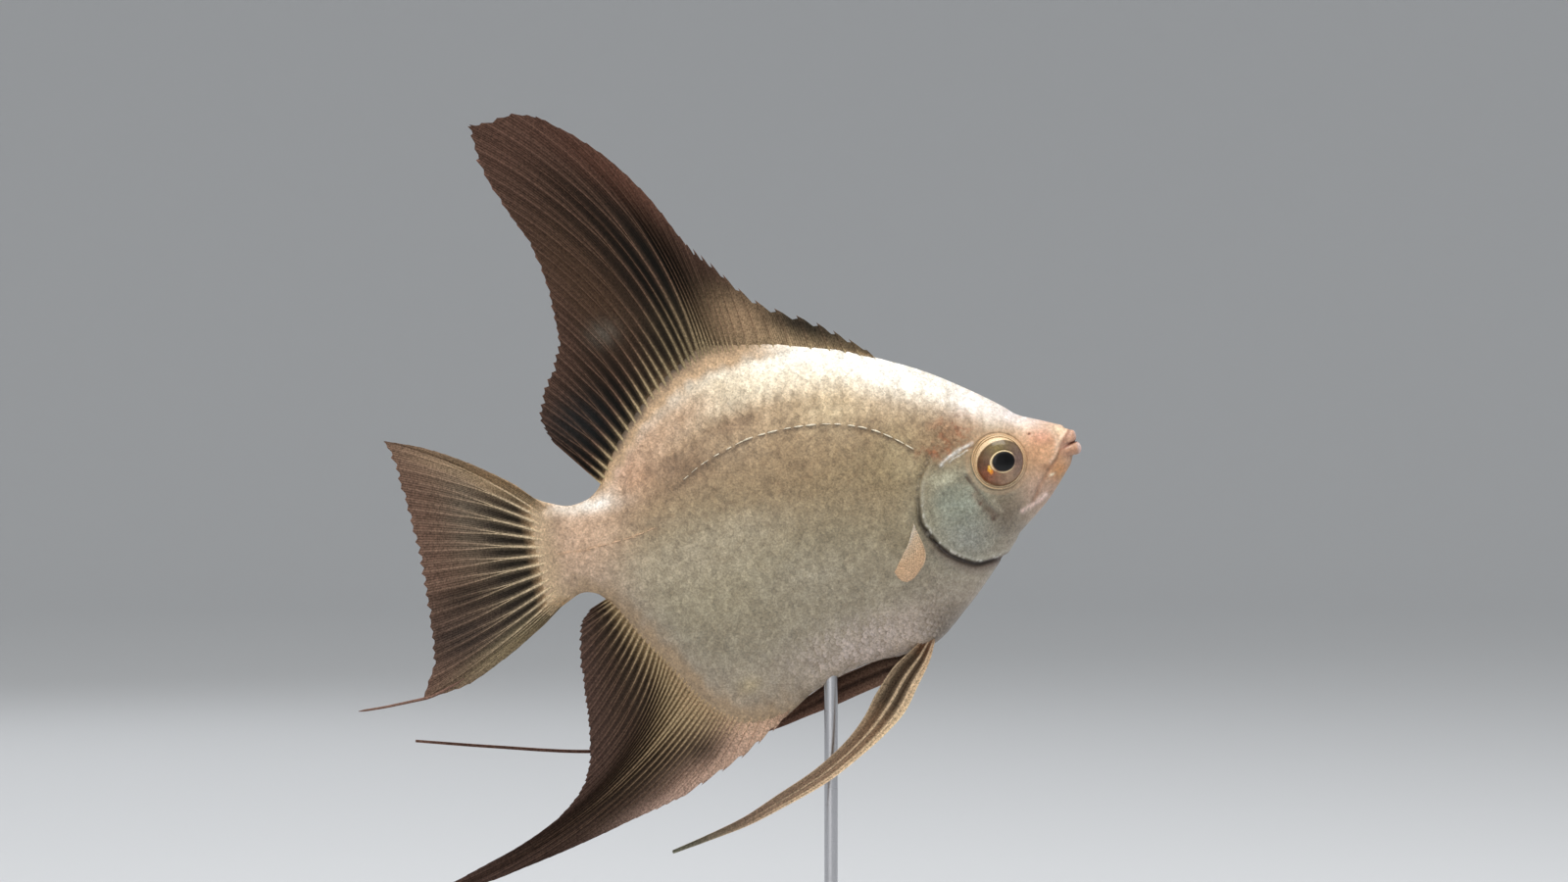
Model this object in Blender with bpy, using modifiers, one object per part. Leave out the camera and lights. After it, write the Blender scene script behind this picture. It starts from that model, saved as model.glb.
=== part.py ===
"""Freshwater angelfish, a life-size still model held by a rod on a flat display base.

The fish is built in its own frame and then pitched nose-up on the stand. That frame has its origin at
the tip of the snout, +X forward, +Z up and the fish's right side at -Y. Places along the fish are given
as the distance behind the snout, so a point (behind, height) lies at X = -behind, Z = height.
All sizes are in millimetres until MM turns them into Blender's metres.
"""

import math

import bmesh
import bpy
from mathutils import Matrix, Vector

MM = 0.001

# The whole model
PITCH = math.radians(12.0)  # nose-up swimming pose
SEAM = 0.3  # gap between pieces that touch
WELD = 0.01  # points closer than this are one
FIN_THICKNESS = 0.6
BODY_LENGTH = 79.5  # snout to the base of the tail fin

# Body outline and breadth: (behind the snout, value)
BODY_FRONT = 1.8
BACK = [(1.8, 3.3), (5.0, 4.8), (8.0, 6.2), (10.0, 8.0), (15.0, 11.9), (21.0, 15.9), (27.0, 18.9),
        (34.0, 21.5), (42.0, 22.9), (50.0, 22.5), (57.0, 20.2), (62.0, 16.9), (66.0, 13.2),
        (69.5, 9.6), (73.0, 7.3), (76.0, 6.8), (79.5, 8.0)]
BELLY = [(1.8, -2.9), (6.0, -7.2), (12.0, -11.8), (15.0, -14.8), (21.0, -20.3), (27.0, -24.7),
         (29.5, -25.4), (36.0, -25.5), (43.0, -26.9), (48.0, -28.6), (53.0, -29.5), (57.0, -29.0),
         (60.0, -27.2), (63.0, -23.3), (66.0, -18.2), (70.0, -12.4), (73.6, -7.8), (77.0, -6.4),
         (79.5, -7.3)]
HALF_BREADTH = [(1.8, 1.9), (5.0, 3.3), (8.0, 4.4), (12.0, 5.5), (17.0, 6.4), (23.0, 7.0), (30.0, 7.1),
                (38.0, 6.8), (46.0, 6.1), (54.0, 5.0), (62.0, 3.7), (70.0, 2.7), (76.0, 2.0),
                (79.5, 1.2)]
WIDEST_HEIGHT = [(1.8, 0.0), (12.0, -1.5), (25.0, -1.5), (45.0, -2.0), (60.0, -2.0), (79.5, 0.0)]
# How quickly a section thins towards its ridge: 1 is an ellipse, 2 a sharp-edged lens
BACK_KEENNESS = [(1.8, 1.0), (12.0, 1.1), (27.0, 1.35), (40.0, 1.5), (65.0, 1.5), (79.5, 1.2)]
BELLY_KEENNESS = [(1.8, 1.0), (15.0, 1.05), (30.0, 1.15), (45.0, 1.2), (55.0, 1.5), (65.0, 1.5),
                  (79.5, 1.2)]
BODY_STATIONS = 35
SECTION_POINTS = 26
SIDES = {"right": -1, "left": 1}

# Thin cuts that part the body, as (behind, height) routes
GILL_SLIT = [(18.6, 18.0), (19.6, 12.0), (21.2, 5.0), (22.6, 2.0), (24.4, -1.4), (25.2, -5.0),
             (24.6, -8.3), (22.4, -11.6), (19.2, -13.7), (16.4, -14.4), (13.4, -13.6), (9.5, -12.8)]
JAW_LINE = [(-3.0, 0.6), (4.0, 0.2), (8.6, -5.0), (9.8, -14.0)]
STALK_LINE = [(71.5, 14.0), (71.5, -16.0)]
CHEEK_LINE = [(23.8, 2.4), (19.4, 2.2), (17.4, -1.6), (14.6, -7.6), (13.4, -11.0), (13.2, -15.5)]
GILL_COVER_DEPTH = 3.8  # from the midplane to the underside of each gill cover
BEYOND = 12.0  # how far a cut runs out past the midplane, clear of the body

# Eyes
EYE_PLACE = (11.6, -0.4)
EYE_RADIUS = 4.0
EYE_HALF_DEPTH = 2.5
EYE_OUT = 4.1  # centre, from the midplane
EYE_TURN = math.radians(10.0)  # the eyes look a little forward

# Lips: bent tubes round the front of the snout
LIP_RADIUS = 0.95
LIP_STEPS = 12
UPPER_LIP = {"front": 1.0, "height": 1.6, "corner_behind": 3.9, "corner_height": 0.9, "spread": 2.5}
LOWER_LIP = {"front": 0.65, "height": -0.75, "corner_behind": 3.7, "corner_height": -1.6, "spread": 2.4}

# Fins: each key ray is (root, tip behind, tip height, bow). The root is how far behind the snout the ray
# leaves the body's edge or, on the tail fin, its height. Bow is the ray's rise from a straight line, as
# a share of its length, towards the front of the fin.
DORSAL_RAYS = [(27.3, 28.3, 20.8, 0.0), (33.5, 34.5, 25.9, 0.02), (41.5, 42.8, 31.1, 0.03),
               (46.5, 48.2, 38.0, 0.02), (48.5, 51.3, 42.0, 0.01), (49.6, 54.9, 49.2, 0.02),
               (50.6, 60.3, 57.0, 0.05), (51.6, 66.6, 62.9, 0.08), (52.6, 72.8, 66.5, 0.10),
               (53.8, 80.3, 66.4, 0.10), (55.5, 79.4, 60.4, 0.09), (57.5, 76.5, 52.0, 0.07),
               (59.5, 74.0, 46.0, 0.06), (61.5, 72.9, 39.0, 0.05), (63.5, 72.8, 33.0, 0.04),
               (65.5, 74.2, 28.5, 0.03), (67.5, 76.6, 24.5, 0.03), (69.3, 78.1, 20.4, 0.02),
               (70.9, 76.9, 16.8, 0.0)]
ANAL_RAYS = [(50.2, 51.4, -31.4, 0.0), (52.5, 54.8, -33.2, 0.0), (54.7, 59.0, -35.5, 0.02),
             (56.6, 64.0, -37.5, 0.03), (58.0, 69.5, -39.6, 0.04), (59.2, 76.5, -41.1, 0.06),
             (60.2, 84.5, -43.0, 0.07), (61.2, 93.0, -44.7, 0.07), (62.1, 101.5, -46.0, 0.07),
             (63.0, 110.5, -46.2, 0.09), (64.0, 102.0, -43.8, 0.09), (65.0, 94.8, -41.7, 0.09),
             (66.0, 88.0, -38.7, 0.09), (67.0, 83.9, -35.4, 0.09), (68.0, 81.6, -31.4, 0.06),
             (69.2, 80.6, -26.5, 0.03), (70.4, 80.1, -22.0, 0.02), (71.6, 79.8, -17.0, 0.01),
             (72.8, 78.8, -11.4, 0.0), (73.8, 76.8, -9.1, 0.0)]
TAIL_RAYS = [(7.4, 84.0, 12.0, 0.0), (6.9, 90.0, 16.4, 0.02), (6.4, 96.0, 19.9, 0.03),
             (5.8, 101.6, 22.1, 0.05), (4.5, 100.6, 17.2, 0.04), (2.8, 100.3, 11.3, 0.02),
             (1.0, 100.1, 5.2, 0.01), (-0.8, 100.2, -0.7, 0.0), (-2.6, 100.5, -6.7, -0.02),
             (-4.3, 101.4, -12.4, -0.03), (-5.6, 104.2, -17.2, -0.03), (-6.3, 98.0, -16.6, -0.01),
             (-6.8, 91.0, -13.9, 0.0), (-7.2, 84.0, -10.1, 0.0)]
TAIL_THREAD = [(99.0, -15.9), (103.5, -16.9), (108.5, -16.9), (113.4, -16.7)]
TAIL_THREAD_RADIUS = 0.3
DORSAL_SPINES = 12
DORSAL_COLUMNS = 35
ANAL_SPINES = 6
ANAL_COLUMNS = 39
TAIL_COLUMNS = 37
SPINE_NOTCH = 1.1  # how far the skin between two spines falls short of their tips
SOFT_NOTCH = 0.35
SPINY_KEYS = 4  # the first key rays of the dorsal and anal fins are spines
FIN_ROWS = 6
ROOT_THICKNESS = 1.8  # the scaly sheath at the root of a median fin
SHEATH = 0.3  # share of a ray over which that sheath thins out

# Pelvic fins: (behind, height, out from the midplane, breadth) down the middle of each blade
RIGHT_PELVIC = [(29.7, -26.0, 1.7, 3.0), (32.6, -28.6, 2.3, 4.6), (35.6, -31.7, 3.0, 5.4),
                (38.6, -34.4, 3.7, 4.7), (42.6, -37.3, 4.4, 3.7), (48.0, -40.0, 5.2, 3.2),
                (54.2, -42.2, 5.9, 2.6), (60.4, -44.3, 6.4, 1.7), (66.0, -45.5, 6.8, 1.0),
                (71.8, -46.5, 7.0, 0.6)]
LEFT_PELVIC = [(32.2, -26.6, 1.7, 2.2), (36.0, -27.4, 2.8, 3.7), (42.0, -28.7, 4.0, 3.7),
               (48.0, -30.4, 4.9, 2.6), (56.0, -32.1, 5.6, 1.4), (68.0, -32.3, 6.2, 0.8),
               (81.2, -30.2, 6.2, 0.6), (95.4, -26.4, 5.6, 0.6), (106.6, -23.1, 5.0, 0.6)]
PELVIC_COLUMNS = 4
PELVIC_FOLD = 0.5  # hollow of a blade across its breadth

# Pectoral fins: fans held out from the flanks
PECTORAL_ROOT = (27.4, -8.2)
PECTORAL_ROOT_HEIGHT = 2.6
PECTORAL_LENGTH = 14.5
PECTORAL_REACH = (-0.16, 0.90, -0.41)  # forward, outward and up, along the fin
PECTORAL_SPREAD = (0.95, 0.27, 0.14)  # towards the leading edge
PECTORAL_FAN = 2.3  # half the breadth of the half-folded fan
PECTORAL_COLUMNS = 8

# Display stand
BASE_LENGTH = 74.0
BASE_BREADTH = 46.0
BASE_HEIGHT = 6.0
BASE_CORNER = 6.0
BASE_EDGE = 1.0
ROD_RADIUS = 1.0
ROD_BEHIND = 43.5  # where the rod meets the belly
BELLY_SINK = 6.0  # how far it goes into the belly
BASE_SINK = 4.0
LOWEST_FIN_GAP = 8.0  # clear height between the base and the lowest fin tip

# Finishes: base colour, roughness, metallic
FINISHES = {
    "skin": ((0.62, 0.55, 0.45), 0.45, 0.0),
    "gill": ((0.55, 0.58, 0.55), 0.40, 0.0),
    "lip": ((0.68, 0.45, 0.34), 0.50, 0.0),
    "fin": ((0.20, 0.13, 0.10), 0.50, 0.0),
    "clear_fin": ((0.62, 0.46, 0.32), 0.50, 0.0),
    "eye": ((0.16, 0.09, 0.04), 0.10, 0.0),
    "wood": ((0.07, 0.04, 0.025), 0.35, 0.0),
    "steel": ((0.60, 0.60, 0.62), 0.25, 1.0),
}

FINISH_OF = {"gill": "gill", "upper_jaw": "lip", "lower_jaw": "lip", "eye": "eye", "pectoral": "clear_fin",
             "tail_stalk": "skin", "tail_fin": "fin", "dorsal": "fin", "anal": "fin", "pelvic": "fin",
             "stand_base": "wood", "stand_rod": "steel"}


def clear_scene():
    """Remove every object that the file opened with."""
    for thing in list(bpy.data.objects):
        bpy.data.objects.remove(thing)


def new_collection(name):
    group = bpy.data.collections.new(name)
    bpy.context.scene.collection.children.link(group)
    return group


def steady(keys, at):
    """Value at a place, on a smooth curve through (place, value) keys that never overshoots them."""
    if at <= keys[0][0]:
        return keys[0][1]
    if at >= keys[-1][0]:
        return keys[-1][1]
    i = max(n for n in range(len(keys) - 1) if keys[n][0] <= at)
    (x0, y0), (x1, y1) = keys[i], keys[i + 1]
    width = x1 - x0
    t = (at - x0) / width
    m0, m1 = tangent(keys, i), tangent(keys, i + 1)
    return ((1 + 2 * t) * (1 - t) ** 2 * y0 + t * (1 - t) ** 2 * width * m0
            + t * t * (3 - 2 * t) * y1 - t * t * (1 - t) * width * m1)


def tangent(keys, i):
    """Slope at key i: the harmonic mean of its two sides, or none at a turning point."""
    sides = [(keys[n + 1][1] - keys[n][1]) / (keys[n + 1][0] - keys[n][0])
             for n in (i - 1, i) if 0 <= n < len(keys) - 1]
    if len(sides) == 1:
        return sides[0]
    if sides[0] * sides[1] <= 0:
        return 0.0
    return 2 * sides[0] * sides[1] / (sides[0] + sides[1])


def between(rows, at):
    """The row of numbers at a fractional index, each column a steady curve down the rows."""
    return [steady(list(enumerate(column)), at) for column in zip(*rows)]


def point(behind, out, height):
    """A place on the fish, in metres. Out is towards its left side."""
    return Vector((-behind, out, height)) * MM


def finish(name):
    """The material of that name, made the first time it is asked for."""
    material = bpy.data.materials.get(name)
    if material is None:
        colour, roughness, metallic = FINISHES[name]
        material = bpy.data.materials.new(name)
        material.use_nodes = True
        shader = material.node_tree.nodes["Principled BSDF"]
        shader.inputs["Base Color"].default_value = (*colour, 1.0)
        shader.inputs["Roughness"].default_value = roughness
        shader.inputs["Metallic"].default_value = metallic
    return material


def mesh_object(name, bm, group):
    """An object that holds what bm has built."""
    mesh = bpy.data.meshes.new(name)
    bmesh.ops.recalc_face_normals(bm, faces=bm.faces)
    bm.to_mesh(mesh)
    bm.free()
    thing = bpy.data.objects.new(name, mesh)
    group.objects.link(thing)
    return thing


def applied(thing):
    """The same object, its modifiers and its curve made into its own mesh."""
    bpy.context.view_layer.update()
    graph = bpy.context.evaluated_depsgraph_get()
    mesh = bpy.data.meshes.new_from_object(thing.evaluated_get(graph))
    name, place = thing.name, thing.matrix_world.copy()
    group = thing.users_collection[0]
    bpy.data.objects.remove(thing)
    mesh.transform(place)
    solid = bpy.data.objects.new(name, mesh)
    group.objects.link(solid)
    return solid


def helper(thing):
    """Mark a cutter, which isn't part of the model."""
    thing.hide_render = True
    thing.display_type = "WIRE"
    return thing


def cut(thing, cutter, operation="DIFFERENCE"):
    modifier = thing.modifiers.new(cutter.name, "BOOLEAN")
    modifier.operation = operation
    modifier.object = cutter


def solidify(sheet, thickness):
    modifier = sheet.modifiers.new("thickness", "SOLIDIFY")
    modifier.thickness = thickness * MM
    modifier.offset = 0.0


def grid_sheet(name, rows, group):
    """An open surface through rows of points."""
    bm = bmesh.new()
    lines = [[bm.verts.new(place) for place in row] for row in rows]
    for low, high in zip(lines, lines[1:]):
        for a, b, c, d in zip(low, low[1:], high[1:], high):
            bm.faces.new((a, b, c, d))
    return mesh_object(name, bm, group)


# The body


def body_ring(behind):
    """The points round one upright section of the body."""
    top, bottom = steady(BACK, behind), steady(BELLY, behind)
    breadth, middle = steady(HALF_BREADTH, behind), steady(WIDEST_HEIGHT, behind)
    ring = []
    for n in range(SECTION_POINTS):
        turn = 2 * math.pi * n / SECTION_POINTS
        rise, side = math.sin(turn), math.cos(turn)
        reach = top - middle if rise > 0 else middle - bottom
        keenness = steady(BACK_KEENNESS if rise > 0 else BELLY_KEENNESS, behind)
        out = math.copysign(breadth * abs(side) ** keenness, side)
        ring.append(point(behind, out, middle + reach * rise))
    return ring


def body_breadth_at(behind, height):
    """Half the body's breadth at a place seen from the side."""
    top, bottom = steady(BACK, behind), steady(BELLY, behind)
    middle = steady(WIDEST_HEIGHT, behind)
    above = height > middle
    rise = (height - middle) / (top - middle) if above else (middle - height) / (middle - bottom)
    keenness = steady(BACK_KEENNESS if above else BELLY_KEENNESS, behind)
    return steady(HALF_BREADTH, behind) * max(0.0, 1 - rise * rise) ** (keenness / 2)


def whole_body(group):
    """Snout to tail-fin base as one loft, closed at both ends."""
    bm = bmesh.new()
    rings = []
    for n in range(BODY_STATIONS):
        share = n / (BODY_STATIONS - 1)
        behind = BODY_FRONT + (BODY_LENGTH - BODY_FRONT) * (0.75 * share + 0.25 * share ** 2)
        rings.append([bm.verts.new(place) for place in body_ring(behind)])
    for front, rear in zip(rings, rings[1:]):
        for n in range(SECTION_POINTS):
            m = (n + 1) % SECTION_POINTS
            bm.faces.new((front[n], front[m], rear[m], rear[n]))
    bm.faces.new(rings[0])
    bm.faces.new(rings[-1])
    return mesh_object("body", bm, group)


def smooth_route(route):
    """The places of a route with one more between each two, on a steady curve."""
    return [between(route, n / 2) for n in range(2 * len(route) - 1)]


def slit(name, route, near, far, group):
    """A cutter one seam thick that follows a side-view route, from near to far across the fish."""
    rows = [[point(b, out, h) for b, h in smooth_route(route)] for out in (near, far)]
    ribbon = grid_sheet(name, rows, group)
    solidify(ribbon, SEAM)
    return helper(applied(ribbon))


def move_to(thing, group):
    for old in list(thing.users_collection):
        old.objects.unlink(thing)
    group.objects.link(thing)


def gill_floor(name, side, group):
    """A thin flat cutter, of one gill cover's outline, that frees its underside."""
    front = smooth_route(CHEEK_LINE)
    rear = [(b, h) for b, h in smooth_route(GILL_SLIT) if h <= CHEEK_LINE[0][1] and b > CHEEK_LINE[-1][0]]
    curve = bpy.data.curves.new(name, "CURVE")
    curve.dimensions = "2D"
    curve.fill_mode = "BOTH"
    curve.extrude = SEAM / 2 * MM
    line = curve.splines.new("POLY")
    outline = front + rear[::-1]
    line.points.add(len(outline) - 1)
    for spot, (behind, height) in zip(line.points, outline):
        spot.co = (-behind * MM, height * MM, 0, 1)
    line.use_cyclic_u = True
    plate = bpy.data.objects.new(name, curve)
    group.objects.link(plate)
    plate.rotation_euler = (math.pi / 2, 0, 0)
    plate.location = point(0, side * GILL_COVER_DEPTH, 0)
    solid = applied(plate)
    weld(solid)
    return helper(solid)


def weld(thing):
    """Join the points of a solid that lie in one place."""
    bm = bmesh.new()
    bm.from_mesh(thing.data)
    bmesh.ops.remove_doubles(bm, verts=bm.verts, dist=WELD * MM)
    bmesh.ops.recalc_face_normals(bm, faces=bm.faces)
    bm.to_mesh(thing.data)
    bm.free()


def loose_pieces(thing):
    """Each separate body of a mesh, as its own object."""
    bpy.ops.object.select_all(action="DESELECT")
    thing.select_set(True)
    bpy.context.view_layer.objects.active = thing
    bpy.ops.mesh.separate(type="LOOSE")
    return list(bpy.context.selected_objects)


def name_by_place(pieces, places):
    """Give each piece the name whose place is nearest its middle."""
    for piece in pieces:
        corners = [Vector(corner) for corner in piece.bound_box]
        middle = sum(corners, Vector()) / len(corners)
        name = min(places, key=lambda key: (places[key] - middle).length)
        piece.name = name
        piece.data.name = name


def tube(name, places, radius, group):
    """A round tube through a list of places, closed at both ends."""
    curve = bpy.data.curves.new(name, "CURVE")
    curve.dimensions = "3D"
    curve.bevel_depth = radius * MM
    curve.bevel_resolution = 2
    curve.use_fill_caps = True
    line = curve.splines.new("POLY")
    line.points.add(len(places) - 1)
    for spot, place in zip(line.points, places):
        spot.co = (*place, 1)
    bent = bpy.data.objects.new(name, curve)
    group.objects.link(bent)
    solid = applied(bent)
    weld(solid)
    return solid


def lip(name, shape, radius, group):
    """A tube bent round the snout from one corner of the mouth to the other."""
    places = []
    for n in range(LIP_STEPS + 1):
        turn = math.pi * (n / LIP_STEPS - 0.5)
        back = 1 - math.cos(turn)
        behind = shape["front"] + (shape["corner_behind"] - shape["front"]) * back
        height = shape["height"] + (shape["corner_height"] - shape["height"]) * back
        places.append(point(behind, shape["spread"] * math.sin(turn), height))
    return tube(name, places, radius, group)


def eyeball(name, side, grow, group):
    """A flattened ball in the side of the head."""
    behind, height = EYE_PLACE
    bpy.ops.mesh.primitive_uv_sphere_add(segments=20, ring_count=10, radius=1.0)
    ball = bpy.context.object
    ball.name = name
    wide, deep = (EYE_RADIUS + grow) * MM, (EYE_HALF_DEPTH + grow) * MM
    place = Matrix.Translation(point(behind, side * EYE_OUT, height))
    forward = Matrix.Rotation(-side * EYE_TURN, 4, "Z")
    pole = Matrix.Rotation(math.pi / 2, 4, "X")
    ball.data.transform(place @ forward @ Matrix.Diagonal((wide, deep, wide, 1.0)) @ pole)
    move_to(ball, group)
    return ball


def build_body(group, cutters):
    """The body, parted by thin cuts into head, lower jaw, gill covers, trunk and tail stalk."""
    body = whole_body(group)
    tools = [slit("gill_slit", GILL_SLIT, -BEYOND, BEYOND, cutters),
             slit("jaw_cut", JAW_LINE, -BEYOND, BEYOND, cutters),
             slit("stalk_cut", STALK_LINE, -BEYOND, BEYOND, cutters),
             helper(lip("lip_space", UPPER_LIP, LIP_RADIUS + SEAM, cutters))]
    for word, side in SIDES.items():
        tools.append(helper(eyeball("eye_space_" + word, side, SEAM, cutters)))
        tools.append(slit("cheek_cut_" + word, CHEEK_LINE, side * GILL_COVER_DEPTH, side * BEYOND, cutters))
        tools.append(gill_floor("gill_floor_" + word, side, cutters))
    for tool in tools:
        cut(body, tool)
    name_by_place(loose_pieces(applied(body)), {
        "head": point(11.0, 0, -2.0),
        "lower_jaw": point(5.5, 0, -5.0),
        "trunk": point(45.0, 0, -3.0),
        "tail_stalk": point(76.0, 0, 0),
        "gill_cover_right": point(19.0, -5.5, -5.5),
        "gill_cover_left": point(19.0, 5.5, -5.5),
    })
    lower = lip("lower_lip", LOWER_LIP, LIP_RADIUS, cutters)
    cut(bpy.data.objects["lower_jaw"], helper(lower), "UNION")
    lip("upper_jaw", UPPER_LIP, LIP_RADIUS, group)
    for word, side in SIDES.items():
        eyeball("eye_" + word, side, 0.0, group)


# Fins


def fin_sway(behind, height):
    """Sideways lie of the fins' thin skin: a gentle wave that grows away from the body."""
    away = max(0.0, abs(height) - 24.0) / 40.0 + max(0.0, behind - 80.0) / 30.0
    return 1.6 * away * math.sin(0.11 * behind + 0.05 * height)


def ray_line(root, tip, bow, above):
    """The places down one ray, from root to tip, as (behind, height)."""
    reach = tip - root
    front = Vector((-reach.y, reach.x)) if above else Vector((reach.y, -reach.x))
    shares = [n / (FIN_ROWS - 1) for n in range(FIN_ROWS)]
    return [root + reach * share + front * (bow * 4 * share * (1 - share)) for share in shares]


def fin_columns(spines, soft, keys):
    """(fractional key, notch) of each column of a fin: a tip and a dip for each spine, then soft rays."""
    columns = []
    for n in range(2 * spines):
        columns.append((SPINY_KEYS * n / (2 * spines), SPINE_NOTCH * (n % 2)))
    first = SPINY_KEYS if spines else 0
    for n in range(soft):
        columns.append((first + (keys - 1 - first) * n / (soft - 1), SOFT_NOTCH * (n % 2)))
    return columns


def median_fin(name, keys, spines, soft, root_of, group):
    """An upright fin on the midplane: a thin swaying sheet through its rays, thicker at its root."""
    above = keys[0][2] > 0
    columns = []
    for index, notch in fin_columns(spines, soft, len(keys)):
        root, tip_behind, tip_height, bow = between(keys, index)
        line = ray_line(Vector(root_of(root)), Vector((tip_behind, tip_height)), bow, above)
        last = line[-1] - line[-2]
        line[-1] = line[-1] - last.normalized() * min(notch, last.length * 0.6)
        columns.append([point(p.x, fin_sway(p.x, p.y), p.y) for p in line])
    sheet = grid_sheet(name, columns, group)
    solidify(sheet, ROOT_THICKNESS)
    weights = sheet.vertex_groups.new(name="thickness")
    thin = FIN_THICKNESS / ROOT_THICKNESS
    for vertex in sheet.data.vertices:
        share = (vertex.index % FIN_ROWS) / (FIN_ROWS - 1)
        sheath = max(0.0, 1 - share / SHEATH)
        weights.add([vertex.index], thin + (1 - thin) * sheath, "REPLACE")
    sheet.modifiers["thickness"].vertex_group = weights.name
    return sheet


def lengthen_tail(group):
    """Join the thread of the tail fin's lower corner to it."""
    route = [between(TAIL_THREAD, n / 3) for n in range(3 * len(TAIL_THREAD) - 2)]
    places = [point(behind, fin_sway(behind, height), height) for behind, height in route]
    thread = tube("tail_thread", places, TAIL_THREAD_RADIUS, group)
    cut(bpy.data.objects["tail_fin"], helper(thread), "UNION")


def build_fins(group, cutters):
    median_fin("dorsal_fin", DORSAL_RAYS, DORSAL_SPINES, DORSAL_COLUMNS,
               lambda behind: (behind, steady(BACK, behind) + SEAM), group)
    median_fin("anal_fin", ANAL_RAYS, ANAL_SPINES, ANAL_COLUMNS,
               lambda behind: (behind, steady(BELLY, behind) - SEAM), group)
    median_fin("tail_fin", TAIL_RAYS, 0, TAIL_COLUMNS,
               lambda height: (BODY_LENGTH + SEAM, height), group)
    lengthen_tail(cutters)
    pelvic_fin("pelvic_fin_right", RIGHT_PELVIC, -1, group)
    pelvic_fin("pelvic_fin_left", LEFT_PELVIC, 1, group)
    for word, side in SIDES.items():
        pectoral_fin("pectoral_fin_" + word, side, group)


def pelvic_fin(name, middle, side, group):
    """A long narrow blade that hollows across its breadth and tapers to a thread."""
    steps = 2 * (len(middle) - 1)
    rows = []
    for n in range(steps + 1):
        here = between(middle, n / 2)
        before, after = between(middle, max(0, n / 2 - 0.3)), between(middle, n / 2 + 0.3)
        along = Vector((after[0] - before[0], after[1] - before[1])).normalized()
        across = Vector((along.y, -along.x))
        row = []
        for m in range(PELVIC_COLUMNS + 1):
            share = 2 * m / PELVIC_COLUMNS - 1
            spot = Vector(here[:2]) + across * (share * here[3] / 2)
            hollow = PELVIC_FOLD * (share * share - 0.5) * min(1.0, here[3] / 3)
            row.append(point(spot.x, side * (here[2] + hollow), spot.y))
        rows.append(row)
    blade = grid_sheet(name, rows, group)
    solidify(blade, FIN_THICKNESS)
    return blade


def pectoral_fin(name, side, group):
    """A rounded fan that stands out from the flank, back and down."""
    behind, height = PECTORAL_ROOT
    start = Vector((-behind, body_breadth_at(behind, height) + 2 * SEAM, height))
    along = Vector(PECTORAL_REACH).normalized()
    lead = Vector(PECTORAL_SPREAD)
    lead = (lead - along * lead.dot(along)).normalized()
    rows = []
    for n in range(PECTORAL_COLUMNS + 1):
        fan = 2 * n / PECTORAL_COLUMNS - 1
        length = PECTORAL_LENGTH * (1 - 0.28 * fan * fan + 0.06 * fan)
        root = start + Vector((0.15 * fan, 0.0, fan * PECTORAL_ROOT_HEIGHT / 2))
        tip = start + along * length + lead * (PECTORAL_FAN * fan)
        row = []
        for m in range(FIN_ROWS):
            share = m / (FIN_ROWS - 1)
            spot = root.lerp(tip, share) + lead * (0.8 * fan * math.sin(math.pi * share))
            spot += Vector((0, 0, -0.9 * math.sin(math.pi * share)))
            row.append(Vector((spot.x, side * spot.y, spot.z)) * MM)
        rows.append(row)
    fan = grid_sheet(name, rows, group)
    solidify(fan, FIN_THICKNESS)
    return fan


# Stand


def base_plate(group):
    """A flat plate with rounded corners and a softened top edge."""
    bpy.ops.mesh.primitive_cube_add(size=1)
    plate = bpy.context.object
    plate.name = "stand_base"
    move_to(plate, group)
    size = Matrix.Diagonal((BASE_LENGTH * MM, BASE_BREADTH * MM, BASE_HEIGHT * MM, 1.0))
    plate.data.transform(Matrix.Translation((0, 0, BASE_HEIGHT / 2 * MM)) @ size)
    bm = bmesh.new()
    bm.from_mesh(plate.data)
    upright = [e for e in bm.edges if abs(e.verts[0].co.z - e.verts[1].co.z) > MM]
    bmesh.ops.bevel(bm, geom=upright, offset=BASE_CORNER * MM, segments=5, profile=0.5, affect="EDGES")
    top = [e for e in bm.edges if min(v.co.z for v in e.verts) > (BASE_HEIGHT - 0.1) * MM]
    bmesh.ops.bevel(bm, geom=top, offset=BASE_EDGE * MM, segments=2, profile=0.5, affect="EDGES")
    bm.to_mesh(plate.data)
    bm.free()
    return plate


def fish_place():
    """The matrix that pitches the fish and sets it on the stand, whose foot is the model's origin."""
    turn = Matrix.Rotation(-PITCH, 4, "Y")
    foot = turn @ point(ROD_BEHIND, 0, steady(BELLY, ROD_BEHIND))
    lowest = min((turn @ point(behind, 0, height)).z for _, behind, height, _ in ANAL_RAYS)
    lift = (BASE_HEIGHT + LOWEST_FIN_GAP) * MM - lowest
    return Matrix.Translation((-foot.x, 0, lift)) @ turn


def build_stand(place, group, cutters):
    """The base plate, and a rod that goes from it into the belly through bores one seam wide of it."""
    plate = base_plate(group)
    belly = (place @ point(ROD_BEHIND, 0, steady(BELLY, ROD_BEHIND))).z
    rod_ends = (BASE_HEIGHT * MM - BASE_SINK * MM, belly + BELLY_SINK * MM)
    upright_rod("stand_rod", ROD_RADIUS * MM, rod_ends, group)
    room = SEAM * MM
    bore = upright_rod("rod_bore", ROD_RADIUS * MM + room, (rod_ends[0] - room, rod_ends[1] + room),
                       cutters)
    for carried in (plate, bpy.data.objects["trunk"]):
        cut(carried, helper(bore))


def upright_rod(name, radius, ends, group):
    low, high = ends
    bpy.ops.mesh.primitive_cylinder_add(vertices=24, radius=radius, depth=high - low,
                                        location=(0, 0, (low + high) / 2))
    rod = bpy.context.object
    rod.name = name
    move_to(rod, group)
    return rod


def dress(thing, name):
    thing.data.materials.clear()
    thing.data.materials.append(finish(name))
    thing.data.shade_smooth()
    thing.data.set_sharp_from_angle(angle=math.radians(40))


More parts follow.
